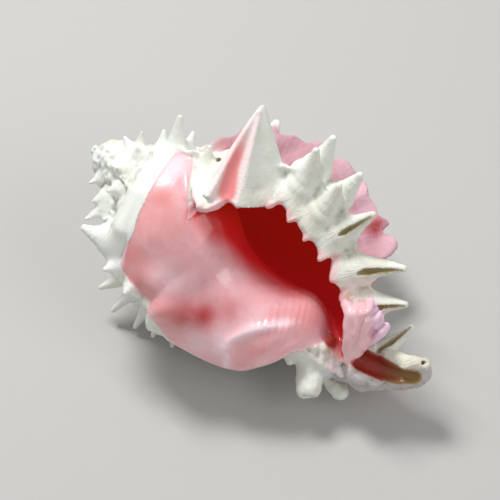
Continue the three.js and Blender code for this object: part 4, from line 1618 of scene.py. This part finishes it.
class SHELL_OT_stage(bpy.types.Operator):
    """Set the floor, the lights and the camera"""

    bl_idname = "shell.stage"
    bl_label = "Set the stage"

    def execute(self, context):
        studio = context.scene.shell_studio
        context.scene.view_settings.view_transform = "Standard"
        self.floor(context, studio)
        self.lights(context, studio)
        self.camera(context, studio)
        return {"FINISHED"}

    def floor(self, context, studio):
        mesh = bpy.data.meshes.new("floor")
        corners = [(x * FLOOR_HALF, y * FLOOR_HALF, 0) for x, y in ((-1, -1), (1, -1), (1, 1), (-1, 1))]
        mesh.from_pydata(corners, [], [(0, 1, 2, 3)])
        floor = bpy.data.objects.new("floor", mesh)
        material = bpy.data.materials.new("floor")
        material.use_nodes = True
        shader = material.node_tree.nodes["Principled BSDF"]
        shader.inputs["Base Color"].default_value = (*studio.floor, 1)
        shader.inputs["Roughness"].default_value = 0.9
        mesh.materials.append(material)
        context.scene.collection.objects.link(floor)

    def lights(self, context, studio):
        world = bpy.data.worlds.new("studio")
        world.use_nodes = True
        sky = world.node_tree.nodes["Background"]
        sky.inputs["Color"].default_value = (1, 1, 1, 1)
        sky.inputs["Strength"].default_value = studio.sky
        context.scene.world = world
        for (name, (place, size)), power in zip(LIGHTS.items(), (studio.key_power, studio.fill_power)):
            data = bpy.data.lights.new(name, "AREA")
            data.size = size
            data.energy = power
            light = bpy.data.objects.new(name, data)
            light.location = place
            light.rotation_euler = (Vector(place) - LIT_POINT).to_track_quat("Z", "Y").to_euler()
            context.scene.collection.objects.link(light)

    def camera(self, context, studio):
        right = Vector((1, 0, 0))
        back = Vector((0, -math.cos(studio.elevation), math.sin(studio.elevation)))
        up = back.cross(right)
        across = (APEX_PIXEL[0] / PHOTO_SIZE - 0.5) * studio.width
        raised = (0.5 - APEX_PIXEL[1] / PHOTO_SIZE) * studio.width
        target = Vector(APEX * MM) - right * across - up * raised
        data = bpy.data.cameras.new("camera")
        data.sensor_width = SENSOR
        data.lens = SENSOR * studio.distance / studio.width
        camera = bpy.data.objects.new("camera", data)
        turn = Matrix((right, up, back)).transposed()
        camera.matrix_world = Matrix.Translation(target + back * studio.distance) @ turn.to_4x4()
        context.scene.collection.objects.link(camera)
        context.scene.camera = camera


class SHELL_PT_panel(bpy.types.Panel):
    """The shell's sizes and colours, and its steps"""

    bl_idname = "SHELL_PT_panel"
    bl_label = "Murex shell"
    bl_space_type = "VIEW_3D"
    bl_region_type = "UI"
    bl_category = "Shell"

    def draw(self, context):
        for group in (context.scene.shell_sizes, context.scene.shell_colours, context.scene.shell_studio):
            box = self.layout.box()
            for name in group.__annotations__:
                box.prop(group, name)
        for step in STEPS:
            self.layout.operator(step.bl_idname)


STEPS = (SHELL_OT_stage, SHELL_OT_grow)
GROUPS = {"shell_sizes": ShellSizes, "shell_colours": ShellColours, "shell_studio": StudioSettings}


def register():
    for kind in (*GROUPS.values(), *STEPS, SHELL_PT_panel):
        bpy.utils.register_class(kind)
    for name, group in GROUPS.items():
        setattr(bpy.types.Scene, name, PointerProperty(type=group))


def unregister():
    for name in GROUPS:
        delattr(bpy.types.Scene, name)
    for kind in reversed((*GROUPS.values(), *STEPS, SHELL_PT_panel)):
        bpy.utils.unregister_class(kind)


def main():
    """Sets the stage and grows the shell."""
    register()
    bpy.ops.shell.stage()
    bpy.ops.shell.grow()


if __name__ == "__main__":
    main()
